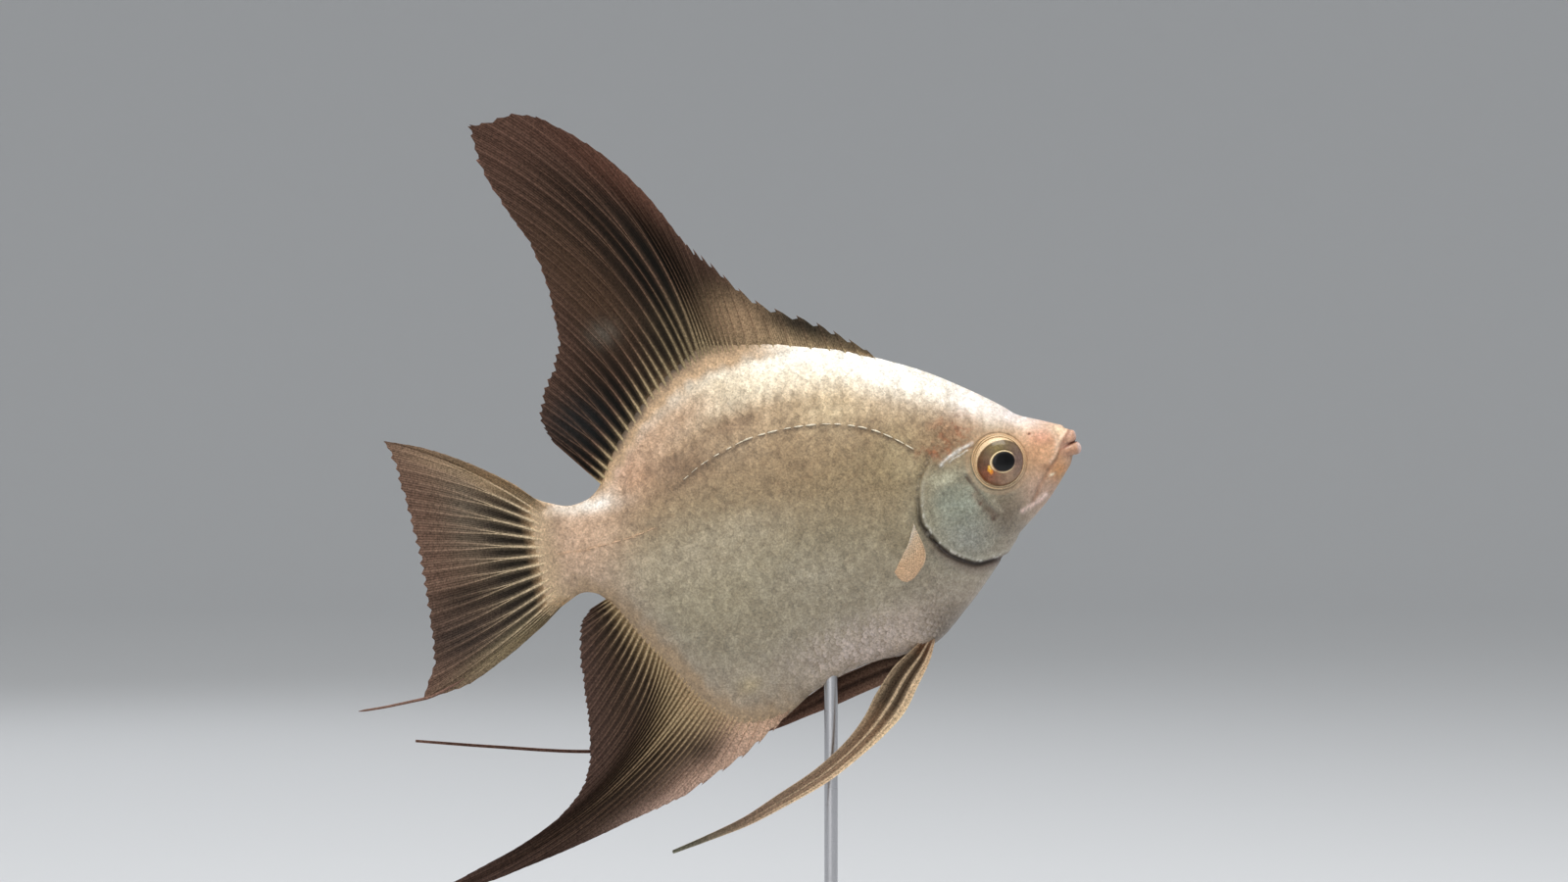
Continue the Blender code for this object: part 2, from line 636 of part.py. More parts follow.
def finish_of(name):
    """Which finish a piece has, by the first words of its name."""
    for start, look in FINISH_OF.items():
        if name.startswith(start):
            return look
    return "skin"


def main():
    clear_scene()
    model = new_collection("angelfish")
    cutters = new_collection("cutters")
    build_body(model, cutters)
    build_fins(model, cutters)
    place = fish_place()
    for thing in list(model.objects):
        applied(thing).data.transform(place)
    build_stand(place, model, cutters)
    for thing in model.objects:
        dress(thing, finish_of(thing.name))


main()
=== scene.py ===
"""Looks of the freshwater angelfish display model: one skin, its coat of scales, its fins, eyes and stand.

A place on the fish is (behind the snout, out from the midplane towards its left side, height), in
millimetres, in the fish's own level frame. FishPose pitches that frame nose-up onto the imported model.
"""

import logging
import math
from dataclasses import dataclass
from enum import Enum

import bpy
import numpy as np
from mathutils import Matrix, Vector


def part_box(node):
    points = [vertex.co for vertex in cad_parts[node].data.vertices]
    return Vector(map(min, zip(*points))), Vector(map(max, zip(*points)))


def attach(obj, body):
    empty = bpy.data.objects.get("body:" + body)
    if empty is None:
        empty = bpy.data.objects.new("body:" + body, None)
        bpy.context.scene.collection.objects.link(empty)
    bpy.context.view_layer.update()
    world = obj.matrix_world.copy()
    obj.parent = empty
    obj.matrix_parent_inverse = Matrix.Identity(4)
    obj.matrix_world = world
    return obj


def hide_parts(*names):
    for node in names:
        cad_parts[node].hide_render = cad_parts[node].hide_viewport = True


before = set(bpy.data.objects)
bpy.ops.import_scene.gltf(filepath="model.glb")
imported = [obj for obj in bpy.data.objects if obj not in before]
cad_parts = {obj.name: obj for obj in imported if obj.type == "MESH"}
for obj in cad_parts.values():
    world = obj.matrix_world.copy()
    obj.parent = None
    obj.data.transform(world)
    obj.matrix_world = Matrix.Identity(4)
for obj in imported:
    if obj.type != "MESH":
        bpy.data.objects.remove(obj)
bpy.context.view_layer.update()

MM = 0.001
PAINT = "Paint"  # the colour attribute that every painted finish reads
RAYS = "Rays"  # where a place lies among a fin's rays
BAKE_MAP = "OFBake"
MAP_LONG = 84.0  # millimetres along the skin's unwrap
MAP_ROUND = 80.0  # millimetres round it
TONES = 128  # tones each way in a mottle's table
LOG = logging.getLogger("angelfish")

Array = np.ndarray
Keys = tuple[tuple[float, ...], ...]
Shade = tuple[int, int, int]  # a screen colour
Stops = tuple[tuple[float, int, int, int], ...]  # places and the screen colours there
Settings = dict[str | int, float | tuple[float, ...]]


class Side(Enum):
    """The two sides of the fish, as the sign of the outward direction."""

    RIGHT = -1
    LEFT = 1

    @property
    def word(self) -> str:
        """The side's name, as the nodes use it."""
        return self.name.lower()


# Small tools


def ease(low: float | Array, high: float | Array, value: Array) -> Array:
    """The share risen, from 0 at the low value smoothly to 1 at the high one, which may be the smaller."""
    share = np.clip((value - low) / (high - low), 0.0, 1.0)
    return share * share * (3 - 2 * share)


def bell(distance: Array, width: float) -> Array:
    """A soft bump: 1 at no distance, falling to about a third at one width."""
    return np.exp(-((distance / width) ** 2))


def linear(red: int, green: int, blue: int) -> Array:
    """A screen colour, each part from 0 to 255, as linear light."""
    parts = np.array([red, green, blue], float) / 255
    return np.where(parts <= 0.04045, parts / 12.92, ((parts + 0.055) / 1.055) ** 2.4)


def unit(vectors: Array) -> Array:
    """The same vectors, each one long."""
    return vectors / np.maximum(np.linalg.norm(vectors, axis=-1, keepdims=True), 1e-12)


def mixed(base: Array, other: Array, share: Array) -> Array:
    """Colours taken towards other linear colours by a share for each."""
    return base + (other - base) * np.asarray(share)[..., None]


def painted(base: Array, shade: Shade, share: Array) -> Array:
    """Linear colours taken towards one screen colour by a share for each."""
    return mixed(base, linear(*shade), share)


def shade_at(stops: Stops, place: Array) -> Array:
    """The linear colours at places between the stops."""
    at, *parts = np.array(stops, float).T
    return np.stack([np.interp(place, at, part) for part in linear(*parts)], axis=-1)


def abreast(*parts: Array | float) -> Array:
    """Arrays set side by side along a new last axis, each first stretched to the shape of the rest."""
    return np.stack(np.broadcast_arrays(*parts), axis=-1)


def all_round(count: int) -> Array:
    """The angles of so many points round a circle, in radians."""
    return 2 * np.pi * np.arange(count) / count


@dataclass(frozen=True)
class Curve:
    """A smooth curve through (place, value) keys that never overshoots them."""

    keys: Keys

    def at(self, places: Array | float) -> Array:
        """Read the curve.

        Args:
            places: where to read it; beyond the end keys the end values hold.

        Returns:
            The values there.
        """
        xs, ys = np.array(self.keys, float).T
        widths = np.diff(xs)
        slopes = np.diff(ys) / widths
        tangents = np.zeros(len(xs))
        tangents[0], tangents[-1] = slopes[0], slopes[-1]
        product = slopes[:-1] * slopes[1:]
        total = np.where(product > 0, slopes[:-1] + slopes[1:], 1.0)
        tangents[1:-1] = np.where(product > 0, 2 * product / total, 0.0)
        x = np.clip(places, xs[0], xs[-1])
        i = np.clip(np.searchsorted(xs, x, side="right") - 1, 0, len(xs) - 2)
        t, width = (x - xs[i]) / widths[i], widths[i]
        start = (1 + 2 * t) * (1 - t) ** 2 * ys[i] + t * (1 - t) ** 2 * width * tangents[i]
        return start + t * t * (3 - 2 * t) * ys[i + 1] - t * t * (1 - t) * width * tangents[i + 1]


def between(rows: Keys, at: Array) -> list[Array]:
    """Each column of the rows, read at fractional row numbers on a smooth curve."""
    return [Curve(tuple(enumerate(column))).at(at) for column in zip(*rows)]


@dataclass(frozen=True)
class Mottle:
    """Smooth uneven tones over the fish's side, the same on every run."""

    long: float  # millimetres from one tone to the next, along the fish
    tall: float
    seed: int
    tilt_degrees: float = 0.0

    def at(self, behind: Array, height: Array) -> Array:
        """Read the tone.

        Args:
            behind: distances behind the snout.
            height: their heights.

        Returns:
            The tone at each place, from -1 to 1.
        """
        table = np.random.default_rng(self.seed).uniform(-1, 1, (TONES, TONES))
        tilt = math.radians(self.tilt_degrees)
        x = (behind * math.cos(tilt) - height * math.sin(tilt)) / self.long + 512
        y = (behind * math.sin(tilt) + height * math.cos(tilt)) / self.tall + 512
        i, j = np.floor(x).astype(int), np.floor(y).astype(int)
        u, v = ease(0, 1, x - i), ease(0, 1, y - j)
        i, after, j, above = i % TONES, (i + 1) % TONES, j % TONES, (j + 1) % TONES
        low = table[i, j] * (1 - u) + table[after, j] * u
        high = table[i, above] * (1 - u) + table[after, above] * u
        return low * (1 - v) + high * v


@dataclass(frozen=True)
class Route:
    """A smooth line across the fish's side, seen from the side, through (behind, height) points."""

    points: Keys
    fineness: int = 4  # steps from point to point

    def line(self) -> Array:
        """The points along the line, as rows of (behind, height)."""
        steps = self.fineness * (len(self.points) - 1)
        return np.stack(between(self.points, np.linspace(0, len(self.points) - 1, steps + 1)), axis=-1)

    def measure(self, behind: Array, height: Array) -> tuple[Array, Array, Array]:
        """Measure places against the line.

        Args:
            behind: distances behind the snout.
            height: their heights.

        Returns:
            Each place's distance from the line, positive on the snout's side of a line that runs down the
            fish, then the share of the line at the nearest point, then how far past the line's ends the
            place lies.
        """
        line = self.line()
        best = np.full(np.shape(behind), np.inf)
        signed, share, past = best.copy(), np.zeros_like(best), np.zeros_like(best)
        count = len(line) - 1
        for n, (a, b) in enumerate(zip(line[:-1], line[1:])):
            step = b - a
            length = np.hypot(*step)
            db, dh = behind - a[0], height - a[1]
            along = (db * step[0] + dh * step[1]) / length**2
            held = np.clip(along, 0, 1)
            near = np.hypot(db - held * step[0], dh - held * step[1])
            closer = near < best
            turn = np.sign(step[1] * db - step[0] * dh)
            beyond = np.maximum(-along if n == 0 else 0, along - 1 if n == count - 1 else 0) * length
            best = np.where(closer, near, best)
            signed = np.where(closer, near * turn, signed)
            share = np.where(closer, (n + held) / count, share)
            past = np.where(closer, np.maximum(beyond, 0), past)
        return signed, share, past


# Meshes


@dataclass(frozen=True)
class FishPose:
    """Where the fish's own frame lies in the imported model: pitched nose-up, its eye where the model's is."""

    pitch_degrees: float = 12.0
    eye_behind: float = 11.6
    eye_out: float = 4.1
    eye_height: float = -0.4

    def turned(self, places: Array) -> Array:
        """Turn places of the fish to the model's axes, without the shift.

        Args:
            places: rows of (behind, out, height), in millimetres.

        Returns:
            Rows of (x, y, z), in metres.
        """
        behind, out, height = np.moveaxis(np.asarray(places, float), -1, 0)
        pitch = math.radians(self.pitch_degrees)
        ahead = -behind * math.cos(pitch) - height * math.sin(pitch)
        up = -behind * math.sin(pitch) + height * math.cos(pitch)
        return abreast(ahead, out, up) * MM

    def place(self, places: Array) -> Array:
        """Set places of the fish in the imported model.

        Args:
            places: rows of (behind, out, height), in millimetres.

        Returns:
            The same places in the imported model's frame, in metres.
        """
        low, high = (np.array(corner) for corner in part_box("eye_right"))
        eye = self.turned(np.array([self.eye_behind, -self.eye_out, self.eye_height]))
        return self.turned(places) + (low + high) / 2 - eye


POSE = FishPose()


@dataclass
class MeshParts:
    """The makings of one mesh: points in the fish's frame, faces, a colour for each point, and a map."""

    points: Array
    faces: list[Array]  # arrays of faces with the same number of corners
    paint: Array | None = None
    corner_map: Array | None = None
    rays: Array | None = None  # each point's fractional ray, share along it, and seed of its own

    def build(self, name: str, pose: FishPose | None = POSE, sharp_degrees: float = 50.0) -> bpy.types.Object:
        """Make the mesh object.

        Args:
            name: the piece's name.
            pose: the frame of the points, or None where they are already metres in the model's frame.
            sharp_degrees: the angle past which an edge is drawn sharp.

        Returns:
            The new object.
        """
        spots = pose.place(self.points) if pose else np.asarray(self.points, float)
        mesh = bpy.data.meshes.new(name)
        corners = np.concatenate([group.ravel() for group in self.faces]).astype(np.int32)
        sizes = np.concatenate([np.full(len(group), group.shape[1]) for group in self.faces])
        mesh.vertices.add(len(spots))
        mesh.vertices.foreach_set("co", spots.astype(np.float32).ravel())
        mesh.loops.add(len(corners))
        mesh.loops.foreach_set("vertex_index", corners)
        mesh.polygons.add(len(sizes))
        mesh.polygons.foreach_set("loop_start", (np.cumsum(sizes) - sizes).astype(np.int32))
        mesh.update(calc_edges=True)
        if self.paint is not None:
            layer = mesh.color_attributes.new(PAINT, "FLOAT_COLOR", "POINT")
            shades = np.ones((len(spots), 4), np.float32)
            shades[:, :3] = self.paint
            layer.data.foreach_set("color", shades.ravel())
        if self.rays is not None:
            layer = mesh.attributes.new(RAYS, "FLOAT_VECTOR", "POINT")
            layer.data.foreach_set("vector", self.rays.astype(np.float32).ravel())
        if self.corner_map is not None:
            chart = mesh.uv_layers.new(name=BAKE_MAP)
            chart.uv.foreach_set("vector", self.corner_map.astype(np.float32).ravel())
        mesh.polygons.foreach_set("use_smooth", np.ones(len(mesh.polygons), bool))
        mesh.set_sharp_from_angle(angle=math.radians(sharp_degrees))
        piece = bpy.data.objects.new(name, mesh)
        bpy.context.scene.collection.objects.link(piece)
        return piece


def fit_piece(piece: bpy.types.Object, finish: "Finish", slot: str, *nodes: str) -> None:
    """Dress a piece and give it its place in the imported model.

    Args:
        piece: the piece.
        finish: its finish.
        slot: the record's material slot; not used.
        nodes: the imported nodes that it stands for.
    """
    piece.data.materials.append(finish.material())
    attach(piece, "root")
    if nodes:
        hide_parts(*nodes)
    LOG.info("%s: %d faces", piece.name, len(piece.data.polygons))


def grid_faces(rows: int, columns: int, wrap: bool = False) -> Array:
    """Quads over a grid of points that is numbered row by row.

    Args:
        rows: how many rows of points.
        columns: how many points in a row.
        wrap: whether each row closes on itself.

    Returns:
        The four point numbers of each quad.
    """
    across = np.arange(columns if wrap else columns - 1)
    down, beside = np.arange(rows - 1)[:, None] * columns, (across + 1) % columns
    below = down + columns
    return abreast(down + across, down + beside, below + beside, below + across).reshape(-1, 4)


def end_fans(count: int, last: int, middle: int) -> Array:
    """Triangles from a wrapped grid's first ring, and from its last, to the points middle and middle + 1."""
    this, beside = np.arange(count), np.roll(np.arange(count), -1)
    return np.concatenate([abreast(beside, this, middle), abreast(this + last, beside + last, middle + 1)])


def rim_of(rows: int, columns: int) -> Array:
    """The point numbers round the edge of a grid that is numbered row by row."""
    index = np.arange(rows * columns).reshape(rows, columns)
    return np.concatenate([index[0, :-1], index[:-1, -1], index[-1, :0:-1], index[:0:-1, 0]])


def closed_sheet(front: Array, back: Array) -> tuple[Array, Array]:
    """A closed thin body between two grids of points.

    Args:
        front: the points of one face, as rows by columns by three.
        back: those of the other face.

    Returns:
        The points, front face first, and the quads.
    """
    rows, columns = front.shape[:2]
    sheet, rim = grid_faces(rows, columns), rim_of(rows, columns)
    count, after = rows * columns, np.roll(rim, -1)
    edge = abreast(after, rim, rim + count, after + count)
    points = np.concatenate([front.reshape(-1, 3), back.reshape(-1, 3)])
    return points, np.concatenate([sheet, sheet[:, ::-1] + count, edge])


# Finishes


class Sheet:
    """One new material and its nodes."""

    def __init__(self, name: str, settings: Settings) -> None:
        """Start the material.

        Args:
            name: its name.
            settings: the shader's sockets and their values.
        """
        self.material = bpy.data.materials.new(name)
        self.material.use_nodes = True
        self.tree = self.material.node_tree
        self.shader = self.tree.nodes["Principled BSDF"]
        for socket, value in settings.items():
            self.shader.inputs[socket].default_value = value

    def add(self, kind: str, settings: Settings | None = None,
            **feeds: bpy.types.NodeSocket) -> bpy.types.Node:
        """Add a node.

        Args:
            kind: its kind, as Blender names it after ShaderNode.
            settings: values for its sockets.
            feeds: the sockets that feed its own.

        Returns:
            The node.
        """
        node = self.tree.nodes.new("ShaderNode" + kind)
        for socket, value in (settings or {}).items():
            node.inputs[socket].default_value = value
        for socket, source in feeds.items():
            self.tree.links.new(source, node.inputs[socket])
        return node

    def feed(self, socket: str, source: bpy.types.NodeSocket) -> None:
        """Feed one of the shader's sockets."""
        self.tree.links.new(source, self.shader.inputs[socket])

    def attribute(self, name: str) -> bpy.types.Node:
        """Read one of the mesh's attributes.

        Args:
            name: the attribute.

        Returns:
            The node that reads it.
        """
        node = self.add("Attribute")
        node.attribute_name = name
        return node

    def noise(self, size: float, detail: float, stretch: tuple[float, float, float] = (1.0, 1.0, 1.0),
            distortion: float = 0.0) -> bpy.types.NodeSocket:
        """Soft noise through the object.

        Args:
            size: millimetres from one tone to the next.
            detail: how many finer noises it holds.
            stretch: how much closer it lies along each axis.
            distortion: how far it is dragged about.

        Returns:
            The noise's socket, from 0 to 1.
        """
        place = self.add("TexCoord").outputs["Object"]
        scaled = self.add("Mapping", {"Scale": stretch}, Vector=place).outputs["Vector"]
        node = self.add("TexNoise", {"Scale": 1 / (size * MM), "Detail": detail, "Roughness": 0.65,
            "Distortion": distortion}, Vector=scaled)
        return node.outputs["Fac"]

    def spread(self, source: bpy.types.NodeSocket, low: float, high: float, least: float,
            most: float) -> bpy.types.NodeSocket:
        """A socket's value taken from the range low to high to the range least to most.

        Args:
            source: the socket.
            low: the range's start.
            high: its end.
            least: what low becomes.
            most: what high becomes.

        Returns:
            The new value's socket.
        """
        node = self.add("MapRange", {"From Min": low, "From Max": high, "To Min": least, "To Max": most},
            Value=source)
        return node.outputs["Result"]

    def tinted(self, colour: bpy.types.NodeSocket, source: bpy.types.NodeSocket, low: float, high: float,
            contrast: float) -> bpy.types.NodeSocket:
        """A colour made darker and lighter by a socket's value.

        Args:
            colour: the colour.
            source: the value.
            low: the value that darkens most.
            high: the value that lightens most.
            contrast: how far from one the factor goes.

        Returns:
            The new colour's socket.
        """
        node = self.add("VectorMath")
        node.operation = "SCALE"
        self.tree.links.new(colour, node.inputs[0])
        self.tree.links.new(self.spread(source, low, high, 1 - contrast, 1 + contrast), node.inputs["Scale"])
        return node.outputs["Vector"]

    def bump(self, height: bpy.types.NodeSocket, depth: float, strength: float = 1.0) -> None:
        """Roughen the surface by a socket's value, to a depth in millimetres."""
        node = self.add("Bump", {"Strength": strength, "Distance": depth * MM}, Height=height)
        self.feed("Normal", node.outputs["Normal"])

    def wave(self, source: bpy.types.NodeSocket, rate: float) -> bpy.types.NodeSocket:
        """Make waves of a socket's value.

        Args:
            source: the socket.
            rate: how many waves there are to each unit of its value.

        Returns:
            The sine's socket, from -1 to 1.
        """
        scaled = self.add("Math", {1: rate * 2 * math.pi})
        scaled.operation = "MULTIPLY"
        self.tree.links.new(source, scaled.inputs[0])
        sine = self.add("Math")
        sine.operation = "SINE"
        self.tree.links.new(scaled.outputs[0], sine.inputs[0])
        return sine.outputs[0]


@dataclass(frozen=True)
class Finish:
    """A finish that one or more pieces share."""

    name: str

    def make(self) -> Sheet:
        """The finish's nodes."""
        raise NotImplementedError

    def material(self) -> bpy.types.Material:
        """The material, made the first time it is asked for."""
        return bpy.data.materials.get(self.name) or self.make().material


@dataclass(frozen=True)
class PaintedFinish(Finish):
    """A finish whose colour is painted on the mesh, with fine mottling and grain over it."""

    roughness: float
    coat: float = 0.0
    coat_roughness: float = 0.1
    specular: float = 0.5
    subsurface: float = 0.0
    mottle_size: float = 0.5  # millimetres
    mottle_strength: float = 0.12
    grain_size: float = 0.12  # millimetres
    grain_depth: float = 0.01  # millimetres

    def make(self) -> Sheet:
        """Set up the finish's nodes.

        Returns:
            The sheet that holds them.
        """
        sheet = Sheet(self.name, {
            "Roughness": self.roughness, "Coat Weight": self.coat, "Coat Roughness": self.coat_roughness,
            "Specular IOR Level": self.specular, "Subsurface Weight": self.subsurface,
            "Subsurface Radius": (0.0012, 0.0006, 0.0004), "Subsurface Scale": 1.0})
        paint = sheet.attribute(PAINT).outputs["Color"]
        mottle = sheet.noise(self.mottle_size, 4.0)
        sheet.feed("Base Color", sheet.tinted(paint, mottle, 0.32, 0.68, self.mottle_strength))
        sheet.bump(sheet.noise(self.grain_size, 3.0), self.grain_depth)
        return sheet


@dataclass(frozen=True)
class WoodFinish(Finish):
    """Dark oiled wood, its grain along the base."""

    name: str = "oiled_walnut"
    dark: tuple[float, float, float] = (0.028, 0.014, 0.008)
    light: tuple[float, float, float] = (0.10, 0.052, 0.028)
    along: tuple[float, float, float] = (0.12, 1, 1)
    band_size: float = 10.5  # millimetres
    pore_size: float = 0.45
    pore_depth: float = 0.018

    def make(self) -> Sheet:
        """Set up the finish's nodes.

        Returns:
            The sheet that holds them.
        """
        sheet = Sheet(self.name, {"Roughness": 0.38, "Coat Weight": 0.25, "Coat Roughness": 0.2})
        ramp = sheet.add("ValToRGB", Fac=sheet.noise(self.band_size, 6.0, self.along, 1.2))
        for element, place, shade in zip(ramp.color_ramp.elements, (0.36, 0.66), (self.dark, self.light)):
            element.position, element.color = place, (*shade, 1)
        sheet.feed("Base Color", ramp.outputs["Color"])
        sheet.bump(sheet.noise(self.pore_size, 2.0, self.along), self.pore_depth)
        return sheet


@dataclass(frozen=True)
class SteelFinish(Finish):
    """Brushed steel, its fine scratches round the rod."""

    name: str = "brushed_steel"
    shade: tuple[float, float, float] = (0.56, 0.56, 0.58)
    roughness: tuple[float, float] = (0.22, 0.38)
    scratch_depth: float = 0.002  # millimetres

    def make(self) -> Sheet:
        """Set up the finish's nodes.

        Returns:
            The sheet that holds them.
        """
        sheet = Sheet(self.name, {"Base Color": (*self.shade, 1), "Metallic": 1.0})
        scratches = sheet.noise(5.0, 2.0, (1.0, 1.0, 45.0))
        sheet.feed("Roughness", sheet.spread(scratches, 0.0, 1.0, *self.roughness))
        sheet.bump(scratches, self.scratch_depth)
        return sheet


@dataclass(frozen=True)
class FinFinish(Finish):
    """Fin skin: a painted colour with fine fibres that fan out with the rays, joints and specks."""

    name: str = "fin_membrane"
    roughness: float = 0.68
    specular: float = 0.09
    fibres: float = 8.0  # to each ray
    fibre_contrast: float = 0.20
    joints: float = 46.0  # down each ray
    joint_contrast: float = 0.03
    speck_size: float = 0.28  # millimetres
    speck_contrast: float = 0.52
    fibre_depth: float = 0.018  # millimetres

    def make(self) -> Sheet:
        """Set up the finish's nodes.

        Returns:
            The sheet that holds them.
        """
        sheet = Sheet(self.name, {"Roughness": self.roughness, "Specular IOR Level": self.specular})
        rays = sheet.add("SeparateXYZ", Vector=sheet.attribute(RAYS).outputs["Vector"])
        fibre = sheet.wave(rays.outputs["X"], self.fibres)
        colour = sheet.tinted(sheet.attribute(PAINT).outputs["Color"], fibre, -1, 1, self.fibre_contrast)
        colour = sheet.tinted(colour, sheet.wave(rays.outputs["Y"], self.joints), -1, 1, self.joint_contrast)
        colour = sheet.tinted(colour, sheet.noise(self.speck_size, 4.0), 0.32, 0.68, self.speck_contrast)
        sheet.feed("Base Color", colour)
        sheet.bump(fibre, self.fibre_depth)
        return sheet


SKIN_FINISH = PaintedFinish("fish_skin", 0.48, coat=0.12, coat_roughness=0.28, subsurface=0.12,
                            mottle_size=0.36, mottle_strength=0.24, grain_size=0.2, grain_depth=0.02)
SCALE_FINISH = PaintedFinish("scale_gloss", 0.42, coat=0.10, coat_roughness=0.24, mottle_size=0.32,
                             mottle_strength=0.34, grain_size=0.15, grain_depth=0.012)
FIN_FINISH = FinFinish()
EYE_FINISH = PaintedFinish("glass_eye", 0.35, coat=0.35, coat_roughness=0.03, specular=0.2,
                           mottle_size=0.20, mottle_strength=0.24, grain_depth=0)


# Markings


@dataclass(frozen=True)
class Patch:
    """A soft oval area of colour on the fish's side."""

    behind: float
    height: float
    long: float
    tall: float
    shade: Shade
    strength: float
    tilt_degrees: float = 0.0  # its front end raised

    def share(self, behind: Array, height: Array) -> Array:
        """Read how much of the patch's colour shows.

        Args:
            behind: distances behind the snout.
            height: their heights.

        Returns:
            The share at each place.
        """
        tilt = math.radians(self.tilt_degrees)
        db, dh = behind - self.behind, height - self.height
        along = db * math.cos(tilt) - dh * math.sin(tilt)
        across = db * math.sin(tilt) + dh * math.cos(tilt)
        return self.strength * np.exp(-((along / self.long) ** 2 + (across / self.tall) ** 2))


@dataclass(frozen=True)
class Streak:
    """A soft line of colour along a route."""

    route: Route
    width: float
    shade: Shade
    strength: float
    ragged: float = 0.4  # how broken it is

    def share(self, behind: Array, height: Array) -> Array:
        """Read how much of the streak's colour shows.

        Args:
            behind: distances behind the snout.
            height: their heights.

        Returns:
            The share at each place.
        """
        distance, _, past = self.route.measure(behind, height)
        broken = self.ragged * ease(0.3, -0.5, Mottle(0.55, 0.55, 18).at(behind, height))
        distance = distance + 0.25 * self.ragged * Mottle(0.8, 0.8, 19).at(behind, height)
        return self.strength * (1 - broken) * bell(np.hypot(distance, past), self.width)


GILL_EDGE = Route(((22.3, 2.2), (23.3, 0.9), (24, 0), (24.5, -1.1), (24.9, -2.5), (25.1, -4),
                   (25.3, -6.2), (24.3, -8.6), (23, -10.8), (20.7, -12.8), (18, -14), (15, -13.9),
                   (12, -13.2)))
CHEEK_CREASE = Route(((17.6, -1.2), (16.6, -3.4), (15.4, -6), (14.3, -8)))
TEMPLE_RIDGE = Route(((15.6, 3.5), (17.4, 3), (19.4, 2.2), (21, 1.2)))
TEMPLE_STRAND = Route(((16.6, 2.5), (18.2, 2.1), (19.6, 1.3)))
JAW_CREASE = Route(((2.5, 0.4), (3, -0.7), (4.2, -1.9), (5.6, -3.3), (7.3, -5.2), (8.6, -7.2)))
LIP_FOLD = Route(((3.5, 2.8), (3.1, 1.3), (3.6, -0.3), (4.6, -1.8)))
JAW_STREAK = Route(((6.4, -6.4), (8.4, -7.3), (10.4, -8)))
LATERAL_LINE = Route(((24.1, 4.1), (27, 6.6), (29.7, 8.4), (32.4, 9.6), (36.7, 10.8), (42.5, 11.3),
                      (47.1, 11.1), (51.8, 10), (55.8, 8.6), (58.4, 7.2), (60.5, 6.2)))
REAR_LINE = Route(((64, 1), (68.6, 0.2), (74.9, -0.1), (79.6, 0.1)))


